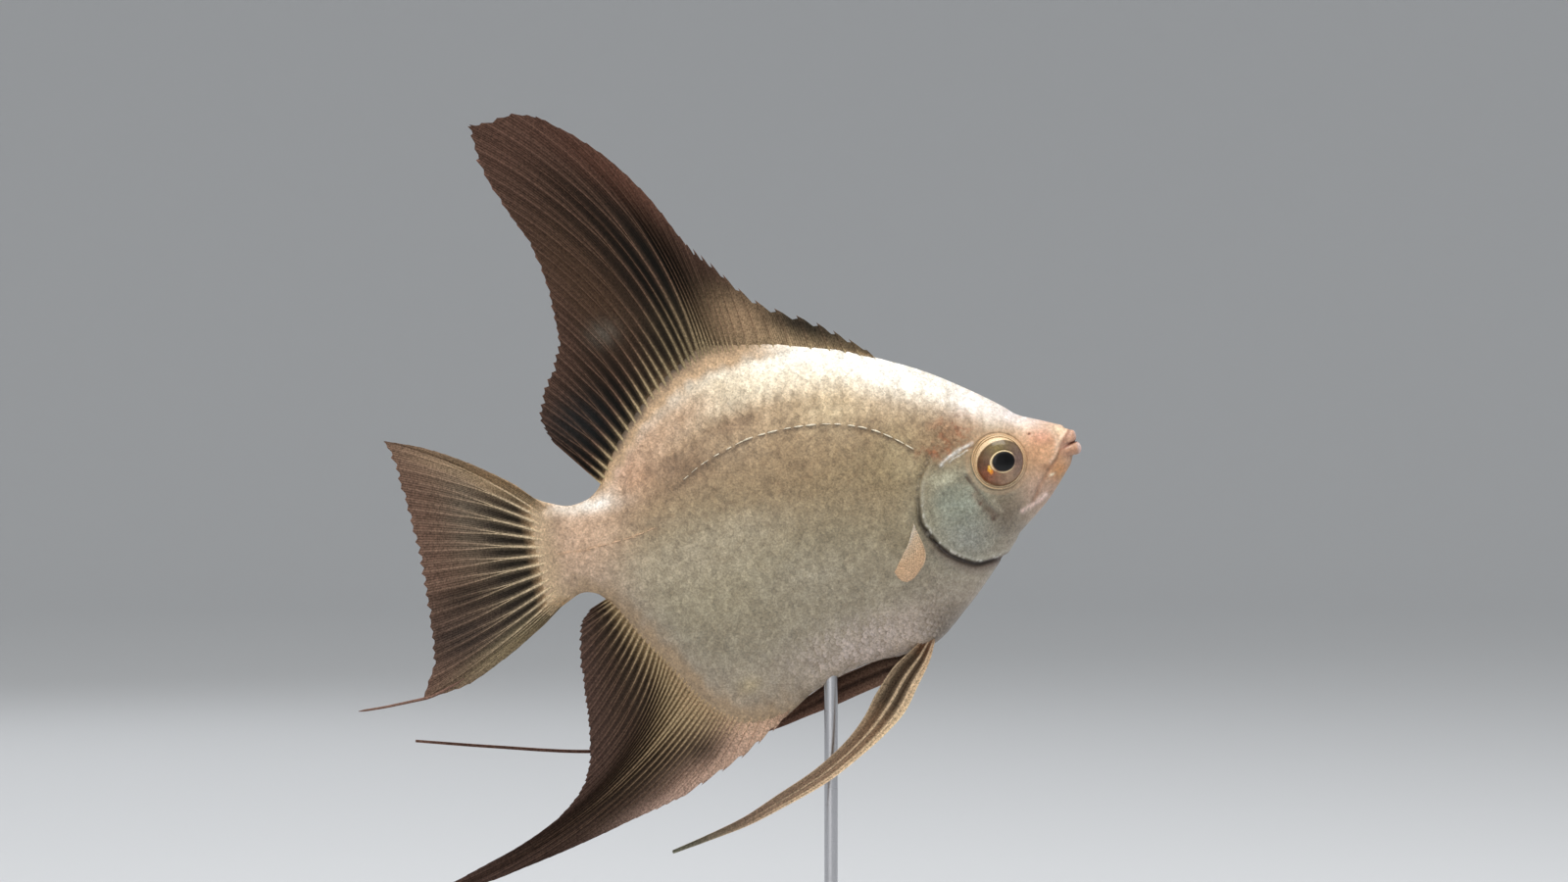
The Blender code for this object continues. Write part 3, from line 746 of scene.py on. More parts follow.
@dataclass(frozen=True)
class Markings:
    """The colours of the fish's skin, which its scales carry as well."""

    # Colour from the belly's edge, 0, to the back's edge, 1; the near-white stops by the back are partly the
    # fish's pale colour and partly a painted highlight of light from above
    level_shades: Stops = (
        (0.00, 172, 157, 138), (0.18, 156, 145, 124), (0.42, 152, 139, 112), (0.60, 153, 129, 94),
        (0.74, 165, 138, 104), (0.84, 188, 163, 130), (0.92, 230, 217, 193), (1.00, 242, 236, 224))
    patches: tuple[Patch, ...] = (
        # The next two near-white patches, along the nape and the back, are partly the fish's pale colour and
        # partly a painted highlight of light from above
        Patch(24, 17, 9, 4, (240, 235, 226), 0.9, -28),
        Patch(42, 21.8, 11, 1.8, (248, 243, 232), 0.55, 0),
        Patch(66.5, 10.5, 5.5, 5, (192, 142, 112), 0.75, 30),
        Patch(75, 1, 6.5, 7, (206, 171, 142), 0.8),
        Patch(60, 14, 6, 4, (186, 152, 120), 0.45, 30),
        Patch(57.5, 9, 5, 3.5, (126, 97, 70), 0.8, 20),
        Patch(50.5, 19.6, 6, 2.6, (200, 182, 150), 0.65),
        # A painted highlight along the top edge of the tail stalk
        Patch(74, 6.6, 4.5, 1.3, (252, 248, 240), 0.9, -6),
        Patch(63, 1.5, 6, 1.2, (118, 92, 68), 0.5, -6),
        Patch(32, 3, 9, 5, (146, 128, 95), 0.5),
        Patch(24, -18, 5, 5, (166, 153, 138), 0.5),
        Patch(30, -21, 6, 3, (196, 176, 160), 0.5),
        Patch(37, -23.5, 8, 2.6, (200, 182, 170), 0.4),
        Patch(27, 3, 4, 5, (152, 136, 100), 0.5),
        Patch(58, -6, 9, 9, (168, 158, 130), 0.6),
        Patch(61, -5, 10, 5, (184, 170, 146), 0.6),
        Patch(44, -11, 7, 4, (168, 158, 138), 0.45),
        Patch(57, 16.4, 6, 2.6, (184, 152, 122), 0.85, 24),
        Patch(62.5, 13.6, 4, 2.6, (186, 150, 120), 0.7, 30),
        Patch(50, 13.4, 5, 1.8, (146, 118, 90), 0.85, 8),
        Patch(50, 9.6, 4, 2, (176, 152, 122), 0.6),
        Patch(35, 12.6, 5, 3.6, (204, 184, 148), 0.6),
        Patch(26, 4, 2.6, 3.4, (178, 158, 122), 0.8),
        Patch(46, 20.4, 7, 2, (226, 212, 186), 0.5),
        Patch(25, -22, 4.6, 3.2, (124, 112, 98), 0.8),
        Patch(55.5, -25, 1.6, 1.2, (204, 184, 140), 0.5),
        Patch(43.5, 5, 7, 2.6, (140, 116, 86), 0.4),
        Patch(50, -2, 6, 3, (186, 174, 150), 0.4),
        Patch(60.8, 9.4, 2.4, 1.6, (154, 124, 98), 0.4),
        Patch(26, -24.8, 3.8, 1.8, (108, 96, 84), 0.7, 20),
        # The head
        Patch(19.6, -5.6, 5.2, 6.4, (150, 154, 138), 1),
        Patch(19, -10.5, 4.4, 3.2, (142, 142, 134), 0.7),
        Patch(20.6, -2.4, 1.6, 0.8, (122, 126, 112), 0.5),
        Patch(22, -4, 1.2, 0.9, (116, 124, 112), 0.4),
        Patch(21.2, -0.8, 2.2, 1.1, (190, 186, 160), 0.85),
        Patch(12.6, -7.6, 3, 3.6, (116, 99, 82), 0.75),
        Patch(7.5, -5.4, 2.6, 3, (198, 164, 144), 0.7),
        Patch(5.8, 0.4, 3.6, 3.6, (214, 166, 127), 0.95),
        Patch(5.4, 2.2, 1.7, 1.1, (208, 150, 122), 0.8, -12),
        Patch(2.4, 2.6, 1, 0.7, (240, 220, 184), 0.7, -30),
        Patch(3.6, -3.4, 1.4, 1.6, (224, 160, 104), 0.85),
        Patch(3.2, -4.4, 1.2, 0.7, (140, 116, 82), 0.6, -50),
        # The next two near-white patches, on the top of the head, are partly its pale colour and partly a
        # painted highlight of light from above
        Patch(9, 6.6, 4.6, 1.6, (226, 214, 212), 0.9, -26),
        Patch(14.5, 9.6, 4.4, 2.6, (238, 230, 224), 0.9, -34),
        Patch(18.4, 6, 2.2, 2.5, (160, 112, 78), 0.6, 15),
        Patch(20.8, 3.4, 1.9, 0.8, (150, 104, 74), 0.5, -14),
        Patch(15.4, 6, 2, 1.8, (196, 162, 130), 0.5),
        Patch(22.8, 5.2, 2, 2.4, (162, 134, 100), 0.5),
        Patch(16.4, -5.5, 0.30, 0.30, (92, 48, 32), 1),
        Patch(14.9, -8.2, 0.30, 0.26, (84, 44, 30), 1),
        Patch(13.6, -10.2, 0.9, 0.8, (106, 98, 88), 0.5),
        Patch(16, 2.8, 0.20, 0.20, (110, 74, 52), 0.9),
        Patch(18.4, 2, 0.18, 0.18, (110, 74, 52), 0.9),
        Patch(18.2, 0.4, 0.18, 0.16, (96, 62, 44), 0.9),
        # A painted glint on the upper jaw
        Patch(4.9, -3.6, 0.42, 0.18, (248, 236, 204), 0.9, 10),
        Patch(5.6, -2.4, 0.5, 0.4, (150, 104, 74), 0.6),
        Patch(7, 3, 0.24, 0.20, (120, 78, 58), 0.9),
    )
    streaks: tuple[Streak, ...] = (
        Streak(TEMPLE_RIDGE, 0.22, (246, 244, 238), 0.95, 0.4),
        Streak(TEMPLE_STRAND, 0.13, (238, 236, 228), 0.6, 0.7),
        # Painted shade in the cheek crease
        Streak(CHEEK_CREASE, 0.26, (96, 72, 58), 0.75),
        Streak(Route(((16.4, -1.4), (15, -4.4), (13.4, -7.4))), 0.28, (190, 182, 162), 0.5),
        Streak(Route(((17, -4), (16.2, -5.8), (15, -7.8))), 0.45, (112, 88, 72), 0.55),
        Streak(LIP_FOLD, 0.34, (240, 208, 182), 0.65),
        # Painted shade in the jaw crease
        Streak(JAW_CREASE, 0.30, (146, 102, 74), 0.65),
        Streak(JAW_STREAK, 0.42, (242, 214, 202), 0.85),
        Streak(REAR_LINE, 0.22, (214, 172, 134), 0.45, 0.7),
        # A painted shadow just below the lateral line's raised tubes
        Streak(Route(tuple((b, h - 0.32) for b, h in LATERAL_LINE.points)), 0.30, (92, 70, 48), 0.6),
    )
    eye_rings: tuple[tuple[float, float, Shade, float], ...] = (
        # distance from the middle of the eye, half width, colour, strength
        (4.36, 0.12, (150, 114, 80), 0.35), (4.7, 0.25, (212, 166, 128), 0.22))
    dorsal_root: Shade = (196, 164, 128)
    dorsal_sheath: Shade = (140, 114, 86)
    dorsal_dusk: Shade = (60, 50, 38)
    anal_root: Shade = (164, 138, 106)
    tail_root: Shade = (198, 170, 136)
    stalk: Shade = (190, 162, 138)
    snout: Shade = (200, 160, 134)
    rust: Shade = (150, 94, 60)
    pepper: Shade = (98, 74, 50)
    gill_shadow: Shade = (36, 22, 16)
    # Painted shade under the gill cover's lower edge
    gill_underside_shade: Shade = (108, 88, 78)
    gill_rim: Shade = (186, 182, 166)
    flake: Shade = (240, 236, 224)
    # How strongly red, green and blue follow the uneven tone
    tone_bias: tuple[float, float, float] = (0.9, 1.0, 1.15)

    @property
    def rust_patches(self) -> tuple[Patch, Patch]:
        """Where the rust shows."""
        return (Patch(18.6, 5.6, 3.2, 2.6, self.rust, 0.95, 10.0),
                Patch(21.6, 3.2, 2.6, 1.0, self.rust, 0.9, -10.0))

    def level(self, behind: Array, height: Array) -> Array:
        """How high places are between the belly's edge, 0, and the back's, 1; more on the dorsal sheath."""
        low, high = BODY.belly.at(behind), BODY.back.at(behind)
        return np.clip((height - low) / (high - low), 0, 1) + np.clip((height - high) / 20, 0, 0.1)

    def colour(self, behind: Array, height: Array) -> Array:
        """Read the fish's colour.

        Args:
            behind: distances behind the snout.
            height: their heights.

        Returns:
            Linear colours, one row for each place.
        """
        behind, height = np.broadcast_arrays(np.asarray(behind, float), np.asarray(height, float))
        low, high = BODY.belly.at(behind), BODY.back.at(behind)
        level = np.clip((height - low) / (high - low), 0, 1)
        colour = shade_at(self.level_shades, level)
        colour = painted(colour, self.stalk, 0.7 * ease(64.0, 76.0, behind))
        colour = painted(colour, self.snout, 0.8 * ease(12.0, 3.0, behind))
        for mark in (*self.patches, *self.streaks):
            colour = painted(colour, mark.shade, mark.share(behind, height))
        colour = self.with_specks(colour, behind, height, level)
        colour = self.with_fin_roots(colour, behind, height, height - high, low - height)
        colour = self.with_gill_edge(colour, behind, height)
        eye = np.hypot(behind - EYE.behind, height - EYE.height)
        for reach, width, shade, strength in self.eye_rings:
            colour = painted(colour, shade, strength * bell(eye - reach, width))
        return np.clip(colour, 0, 1)

    def with_specks(self, colour: Array, behind: Array, height: Array, level: Array) -> Array:
        """Lay the rusty patch behind the eye, the dark specks and the uneven tone over a colour.

        Args:
            colour: the colour so far.
            behind: distances behind the snout.
            height: their heights.
            level: how high they are between belly and back.

        Returns:
            The new colour.
        """
        def tone(long: float, tall: float, seed: int, tilt_degrees: float = 0.0) -> Array:
            """The tone of one mottle at every place."""
            return Mottle(long, tall, seed, tilt_degrees).at(behind, height)

        rust = sum(patch.share(behind, height) for patch in self.rust_patches)
        specks = ease(0.0, 0.5, tone(0.75, 0.9, 5, 25.0) + 0.7 * tone(0.32, 0.32, 15))
        colour = painted(colour, self.rust, 0.85 * rust * specks)
        dark = ease(0.25, 0.7, tone(0.36, 0.4, 16))
        colour = painted(colour, self.pepper, 0.6 * dark * np.clip(rust, 0, 1))
        upper = ease(0.45, 0.62, level) * ease(0.95, 0.86, level)
        upper = upper * ease(14.0, 20.0, behind) * ease(74, 62, behind)
        colour = painted(colour, self.pepper, 0.34 * (ease(0.15, 0.7, tone(0.55, 0.75, 6)) * upper))
        streaks = tone(0.62, 2.4, 8, -8.0) * ease(0.7, 0.8, level) * ease(0.97, 0.9, level)
        shade = 1 + 0.20 * streaks + 0.09 * tone(2.2, 1.8, 9)
        shade = shade + 0.12 * tone(0.7, 0.7, 10) + 0.14 * tone(0.34, 0.34, 17)
        return colour * shade[..., None] ** np.array(self.tone_bias)

    def with_fin_roots(self, colour: Array, behind: Array, height: Array, above_back: Array,
                       below_belly: Array) -> Array:
        """Lay the colours of the skin that climbs the roots of the dorsal, anal and tail fins over a colour.

        Args:
            colour: the colour so far.
            behind: distances behind the snout.
            height: their heights.
            above_back: how far above the back's edge they are.
            below_belly: how far below the belly's edge.

        Returns:
            The new colour.
        """
        ragged = Mottle(1.1, 1.6, 12).at(behind, height)
        dorsal = ease(-1.6, 0.8, above_back + 0.7 * ragged) * ease(36.0, 47.0, behind)
        anal = ease(-4.2, 0.8, below_belly + 1.2 * ragged) * ease(46.0, 54.0, behind)
        colour = painted(colour, self.dorsal_root, dorsal)
        colour = painted(colour, self.dorsal_sheath, dorsal * ease(0.6, 3.2, above_back + 0.5 * ragged))
        dusk = ease(49.0, 56.0, behind) * ease(0.8, 3.8, above_back + 0.8 * ragged)
        colour = painted(colour, self.dorsal_dusk, 0.85 * dorsal * dusk)
        colour = painted(colour, self.anal_root, 0.85 * anal)
        return painted(colour, self.tail_root, 0.9 * ease(78.0, 81.5, behind))

    def with_gill_edge(self, colour: Array, behind: Array, height: Array) -> Array:
        """Lay the painted shade under the gill cover's lower edge, the painted shadow in the crack along its
        edge, its pale rim and its loose flakes over a colour.

        Args:
            colour: the colour so far.
            behind: distances behind the snout.
            height: their heights.

        Returns:
            The new colour.
        """
        distance, share, past = GILL_EDGE.measure(behind, height)
        shown = ease(1.2, 0.0, past)
        deeper = 0.45 + 0.55 * ease(0.35, 0.6, share) * ease(0.98, 0.86, share)
        # Painted shade under the cover's lower edge
        under = ease(0.0, -0.3, distance) * ease(-2.6, -0.4, distance) * ease(0.45, 0.75, share)
        colour = painted(colour, self.gill_underside_shade, 0.75 * under * shown)
        worn = 1 - 0.65 * ease(-0.1, 0.5, Mottle(0.7, 0.7, 20).at(behind, height)) * ease(0.45, 0.3, share)
        # Painted shadow in the crack under the cover's edge
        crack_shadow = bell(distance + 0.20 + 0.14 * deeper, 0.20 + 0.20 * deeper) * deeper * worn
        colour = painted(colour, self.gill_shadow, 0.95 * crack_shadow * shown)
        rim = bell(distance - 0.35, 0.25) * ease(0.0, 0.4, share)
        colour = painted(colour, self.gill_rim, 0.4 * rim * shown)
        flakes = ease(0.25, 0.6, Mottle(0.5, 0.5, 14).at(behind, height)) * bell(distance - 0.12, 0.18)
        return painted(colour, self.flake, 0.8 * flakes * ease(0.35, 0.5, share) * shown)


# The body


@dataclass(frozen=True)
class Eye:
    """The shape of one eye: a flattened ball that looks a little forward, inside a double fleshy ring."""

    radius: float = 4.0
    half_depth: float = 2.5
    turn_degrees: float = 6.0
    opening: float = 3.62  # how much of the ball the ring leaves bare
    ring_end: float = 4.36  # where the ring dips under the skin
    behind: float = 12.45
    height: float = -0.02
    dip: float = 0.5  # how far the skin under the eye lies below it
    widest_fold: float = 2.4  # towards the nape, in radians from straight ahead

    def local(self, places: Array, side: Side) -> tuple[Array, Array, Array]:
        """Measure places from the middle of the eye.

        Args:
            places: rows of (behind, out, height).
            side: which eye.

        Returns:
            How far each place is ahead of, above and out from the middle, along the eye's own axes.
        """
        ahead = self.behind - places[..., 0]
        out = (places[..., 1] * side.value) - POSE.eye_out
        up = places[..., 2] - self.height
        turn = math.radians(self.turn_degrees)
        forward = ahead * math.cos(turn) - out * math.sin(turn)
        return forward, up, ahead * math.sin(turn) + out * math.cos(turn)

    def world(self, ahead: Array, up: Array, depth: Array, side: Side) -> Array:
        """Turn places measured from the middle of the eye to places of the fish.

        Args:
            ahead: how far ahead of the middle they are, along the eye's own axes.
            up: how far above.
            depth: how far out.
            side: which eye.

        Returns:
            Rows of (behind, out, height).
        """
        turn = math.radians(self.turn_degrees)
        forward = ahead * math.cos(turn) + depth * math.sin(turn)
        out = -ahead * math.sin(turn) + depth * math.cos(turn) + POSE.eye_out
        return abreast(self.behind - forward, out * side.value, up + self.height)

    def ball_depth(self, radius: Array | float) -> Array:
        """How far out the ball's face is, at a distance from its axis."""
        return self.half_depth * np.sqrt(np.clip(1 - (radius / self.radius) ** 2, 0, 1))

    def skin_depth(self, ahead: Array, up: Array) -> Array:
        """Measure how far out the plain head's skin is.

        Args:
            ahead: how far ahead of the eye's axis the places are.
            up: how far above it.

        Returns:
            The distances from the middle of the eye, along its axis.
        """
        depth = np.full(np.shape(ahead), 1.2)
        for _ in range(4):
            spot = self.world(ahead, up, depth, Side.LEFT)
            spot[..., 1] = BODY.breadth(spot[..., 0], spot[..., 2])
            depth = self.local(spot, Side.LEFT)[2]
        return depth

    def ring_depth(self, ahead: Array, up: Array) -> Array:
        """Measure how far out the fleshy ring is, from the ball's edge to where it dips.

        Args:
            ahead: how far ahead of the eye's axis the places are.
            up: how far above it.

        Returns:
            The distances from the middle of the eye, along its axis.
        """
        radius = np.hypot(ahead, up)
        lid = self.ball_depth(np.full_like(radius, self.opening)) + 0.03
        skin = self.skin_depth(ahead, up)
        flesh = lid + (skin - lid) * ease(self.opening, self.ring_end - 0.1, radius)
        wide = 0.5 + 0.5 * np.cos(np.arctan2(up, ahead) - self.widest_fold)
        folds = 0.13 * bell(radius - 3.76, 0.10)
        folds = folds + (0.04 + 0.10 * wide) * bell(radius - 3.98 - 0.08 * wide, 0.11)
        return flesh + folds - 0.5 * ease(self.ring_end - 0.18, self.ring_end + 0.2, radius)

    def set_socket(self, places: Array, side: Side) -> Array:
        """Hollow the skin under the eye and its ring.

        Args:
            places: the skin's points on that side.
            side: which side.

        Returns:
            The points, moved along the eye's axis.
        """
        ahead, up, depth = self.local(places, side)
        radius = np.hypot(ahead, up)
        under = np.where(radius < self.opening, self.ball_depth(radius), self.ring_depth(ahead, up))
        under = under - self.dip
        share = ease(self.ring_end - 0.02, self.ring_end - 0.32, radius)
        moved = self.world(ahead, up, depth + (np.minimum(under, depth) - depth) * share, side)
        near = (radius < self.ring_end) & (depth > 0)
        return np.where(near[..., None], moved, places)


@dataclass(frozen=True)
class Lip:
    """A round lip bent about the snout from one corner of the mouth to the other."""

    front: float
    height: float
    corner_behind: float
    corner_height: float
    spread: float
    radius: float
    tall: float = 1.45  # how much taller than deep it is
    steps: int = 28
    grooves: float = 23.0  # along the whole lip

    def line(self) -> Array:
        """Draw the lip's middle.

        Returns:
            Rows of (behind, out, height), from one corner to the other.
        """
        turn = np.linspace(-math.pi / 2, math.pi / 2, self.steps + 1)
        back = 1 - np.cos(turn)
        behind = self.front + (self.corner_behind - self.front) * back
        height = self.height + (self.corner_height - self.height) * back
        return abreast(behind, self.spread * np.sin(turn), height)

    def depth_in(self, places: Array) -> Array:
        """Measure how deep inside the lip places are.

        Args:
            places: rows of (behind, out, height).

        Returns:
            The depths, less than nothing outside.
        """
        deepest = np.full(places.shape[:-1], -np.inf)
        line = self.line()
        for n, (a, b) in enumerate(zip(line[:-1], line[1:])):
            step = b - a
            share = np.clip(((places - a) @ step) / (step @ step), 0, 1)
            along = (n + share) / self.steps
            wave = 0.05 * np.sin(2 * np.pi * self.grooves * along) + 0.04 * np.sin(2 * np.pi * 37 * along + 1)
            radius = self.radius * (1 - 0.62 * np.abs(2 * along - 1) ** 1.6 + wave)
            apart = (places - a - share[..., None] * step) / np.array([1.0, 1.0, self.tall])
            away = np.linalg.norm(apart, axis=-1)
            deepest = np.maximum(deepest, radius - away)
        return deepest


@dataclass(frozen=True)
class BodyShape:
    """The fish's outline, breadth and sections, as curves over the distance behind the snout."""

    back: Curve = Curve(((1.8, 3.3), (5, 4.8), (8, 6.2), (10, 8), (15, 11.9), (21, 15.9),
                         (27, 18.9), (34, 21.5), (42, 22.9), (50, 22.5), (57, 20.2), (62, 16.9),
                         (66, 13.2), (69.5, 9.6), (73, 7.3), (76, 6.8), (79.5, 8), (82.6, 10)))
    belly: Curve = Curve(((1.8, -2.9), (6, -7.2), (12, -11.8), (15, -14.8), (21, -20.3),
                          (27, -24.7), (29.5, -25.4), (36, -25.5), (43, -26.9), (48, -28.6),
                          (53, -29.5), (57, -29), (60, -27.2), (63, -23.3), (66, -18.2),
                          (70, -12.4), (73.6, -7.8), (77, -6.4), (79.5, -7.3), (82.6, -8.9)))
    half_breadth: Curve = Curve(((1.8, 1.9), (5, 3.3), (8, 4.4), (12, 5.5), (17, 6.4), (23, 7),
                                 (30, 7.1), (38, 6.8), (46, 6.1), (54, 5), (62, 3.7),
                                 (70, 2.7), (76, 2), (79.5, 1.05), (81.3, 0.42), (82.6, 0.09)))
    widest: Curve = Curve(((1.8, 0), (12, -1.5), (25, -1.5), (45, -2), (60, -2), (79.5, 0)))
    back_keenness: Curve = Curve(((1.8, 1), (12, 1.1), (27, 1.35), (40, 1.5), (65, 1.5),
                                  (79.5, 1.2)))
    belly_keenness: Curve = Curve(((1.8, 1), (15, 1.05), (30, 1.15), (45, 1.2), (55, 1.5),
                                   (65, 1.5), (79.5, 1.2)))
    # How far the scaly skin climbs each fin's root
    dorsal_sheath: Curve = Curve(((25, 0), (30, 0.3), (37, 0.6), (43, 1.6), (48, 2.9),
                                  (53, 3.9), (56, 3.6), (60, 3.2), (66.8, 3), (69.1, 2.3),
                                  (71.5, 0.5), (73.5, 0)))
    anal_sheath: Curve = Curve(((47, 0), (52, 1.8), (57, 3.4), (62, 3.8), (66, 3.4),
                                (70, 2.4), (73, 0.8), (74.8, 0)))
    sheath_root: float = 0.74  # half thickness of a sheath at the body's edge
    sheath_tip: float = 0.08  # thinner than the rays, which come out through it

    def edges(self, behind: Array) -> tuple[Array, Array]:
        """The heights of the skin's lower and upper edges, its sheaths included."""
        low = self.belly.at(behind) - self.anal_sheath.at(behind)
        return low, self.back.at(behind) + self.dorsal_sheath.at(behind)

    def breadth(self, behind: Array, height: Array) -> Array:
        """Half the body's breadth.

        Args:
            behind: how far behind the snout.
            height: the height, from the lower edge to the upper one.

        Returns:
            The distance from the midplane to the skin.
        """
        middle = self.widest.at(behind)
        above = height > middle
        edge = np.where(above, self.back.at(behind), self.belly.at(behind))
        sheath = np.where(above, self.dorsal_sheath.at(behind), self.anal_sheath.at(behind))
        keenness = np.where(above, self.back_keenness.at(behind), self.belly_keenness.at(behind))
        rise = np.abs(height - middle) / np.abs(edge - middle)
        lens = self.half_breadth.at(behind) * np.clip(1 - rise**2, 0, 1) ** (keenness / 2)
        past = (height - edge) * np.where(above, 1, -1)
        along = np.clip(past / np.maximum(sheath, 0.01), 0, 1)
        flange = (self.sheath_root + (self.sheath_tip - self.sheath_root) * along) * ease(-3.0, -0.5, past)
        flange = flange * ease(0.0, 0.9, sheath)
        left = np.clip(sheath - past, 0, 0.4) / 0.4
        flange = flange * np.sqrt(1 - (1 - left) ** 2)
        return (lens**4 + flange**4) ** 0.25


BODY = BodyShape()
EYE = Eye()
MARKINGS = Markings()
# The skin's creases and ridges: route, half width, and how far it stands out
CREASES: tuple[tuple[Route, float, float], ...] = (
    (CHEEK_CREASE, 0.28, -0.22), (TEMPLE_RIDGE, 0.28, 0.12), (TEMPLE_STRAND, 0.2, 0.08),
    (LIP_FOLD, 0.42, 0.12), (JAW_CREASE, 0.30, -0.20), (JAW_STREAK, 0.40, 0.07))
# Its nostril, pores and swellings: behind, height, half width, and how far it stands out
SWELLINGS: Keys = (
    (7, 3, 0.26, -0.30), (7, 3, 0.60, 0.08), (16, 2.8, 0.16, -0.12), (18.4, 2, 0.16, -0.12),
    (18.2, 0.4, 0.15, -0.10), (16.4, -5.5, 0.22, -0.12), (14.9, -8.2, 0.22, -0.12),
    (9.2, -3.2, 0.15, -0.08), (8.6, -1.6, 0.14, -0.07), (19.5, -7, 4, 0.18), (12.4, -8, 2.6, 0.16))


def skin_relief(behind: Array, height: Array) -> Array:
    """How far the skin stands out from the plain body, for its creases, ridges and gill covers.

    Args:
        behind: how far behind the snout.
        height: the height.

    Returns:
        Millimetres along the skin's normal.
    """
    distance, share, past = GILL_EDGE.measure(behind, height)
    shown = ease(1.6, 0.0, past)
    open_wide = 0.55 + 0.45 * ease(0.3, 0.6, share)
    flap = 0.42 * ease(-0.32, 0.22, distance) * (0.35 + 0.65 * ease(3.0, 0.3, distance))
    gap = -0.50 * bell(distance + 0.50, 0.36) * ease(0.15, -0.35, distance)
    relief = (flap * ease(6.0, 2.5, distance) + gap) * shown * open_wide
    for route, width, rise in CREASES:
        away, _, beyond = route.measure(behind, height)
        relief = relief + rise * bell(np.hypot(away, beyond), width)
    crease_side, _, beyond = CHEEK_CREASE.measure(behind, height)
    relief = relief + 0.14 * bell(crease_side - 0.55, 0.45) * bell(beyond, 1.2)
    for b, h, width, rise in SWELLINGS:
        relief = relief + rise * bell(np.hypot(behind - b, height - h), width)
    line, _, beyond = LATERAL_LINE.measure(behind, height)
    relief = relief + 0.05 * bell(np.hypot(line, beyond), 0.35)
    return relief


def unwrap(side: Side, behind: Array, girth: Array) -> Array:
    """Where places lie on the skin's own unwrap: the right side in its left half, the left in its right."""
    across = 0.02 + 0.46 * np.clip(behind / MAP_LONG, -0.02, 1.0) + (0.5 if side is Side.LEFT else 0.0)
    return abreast(across, np.clip(0.5 + girth / MAP_ROUND, 0.01, 0.99))


@dataclass
class SkinChart:
    """One side of the finished skin, read by the distance behind the snout and the girth from its middle."""

    stations: Array
    girths: Array  # the regular girths of the table's columns
    places: Array
    lowest: Array  # the girth at each station's lower edge
    highest: Array
    side: Side

    def read(self, table: Array, behind: Array, girth: Array) -> Array:
        """Read a table of this chart between its grid points.

        Args:
            table: one value, or row of values, for each station and girth.
            behind: distances behind the snout.
            girth: their girths.

        Returns:
            The values there.
        """
        rows, columns = len(self.stations), len(self.girths)
        i = np.clip(np.interp(behind, self.stations, np.arange(rows)), 0, rows - 1.001)
        j = np.clip((girth - self.girths[0]) / (self.girths[1] - self.girths[0]), 0, columns - 1.001)
        i0, j0 = i.astype(int), j.astype(int)
        fi, fj = (i - i0)[..., None], (j - j0)[..., None]
        near = table[i0, j0] * (1 - fi) + table[i0 + 1, j0] * fi
        far = table[i0, j0 + 1] * (1 - fi) + table[i0 + 1, j0 + 1] * fi
        return near * (1 - fj) + far * fj

    def normals(self) -> Array:
        """Find the skin's outward directions.

        Returns:
            A table of them, one for each of its places.
        """
        along, across = np.gradient(self.places, axis=0), np.gradient(self.places, axis=1)
        outward = unit(np.cross(along, across))
        flip = np.where((outward[..., 1] * self.side.value).mean() < 0, -1.0, 1.0)
        return outward * flip


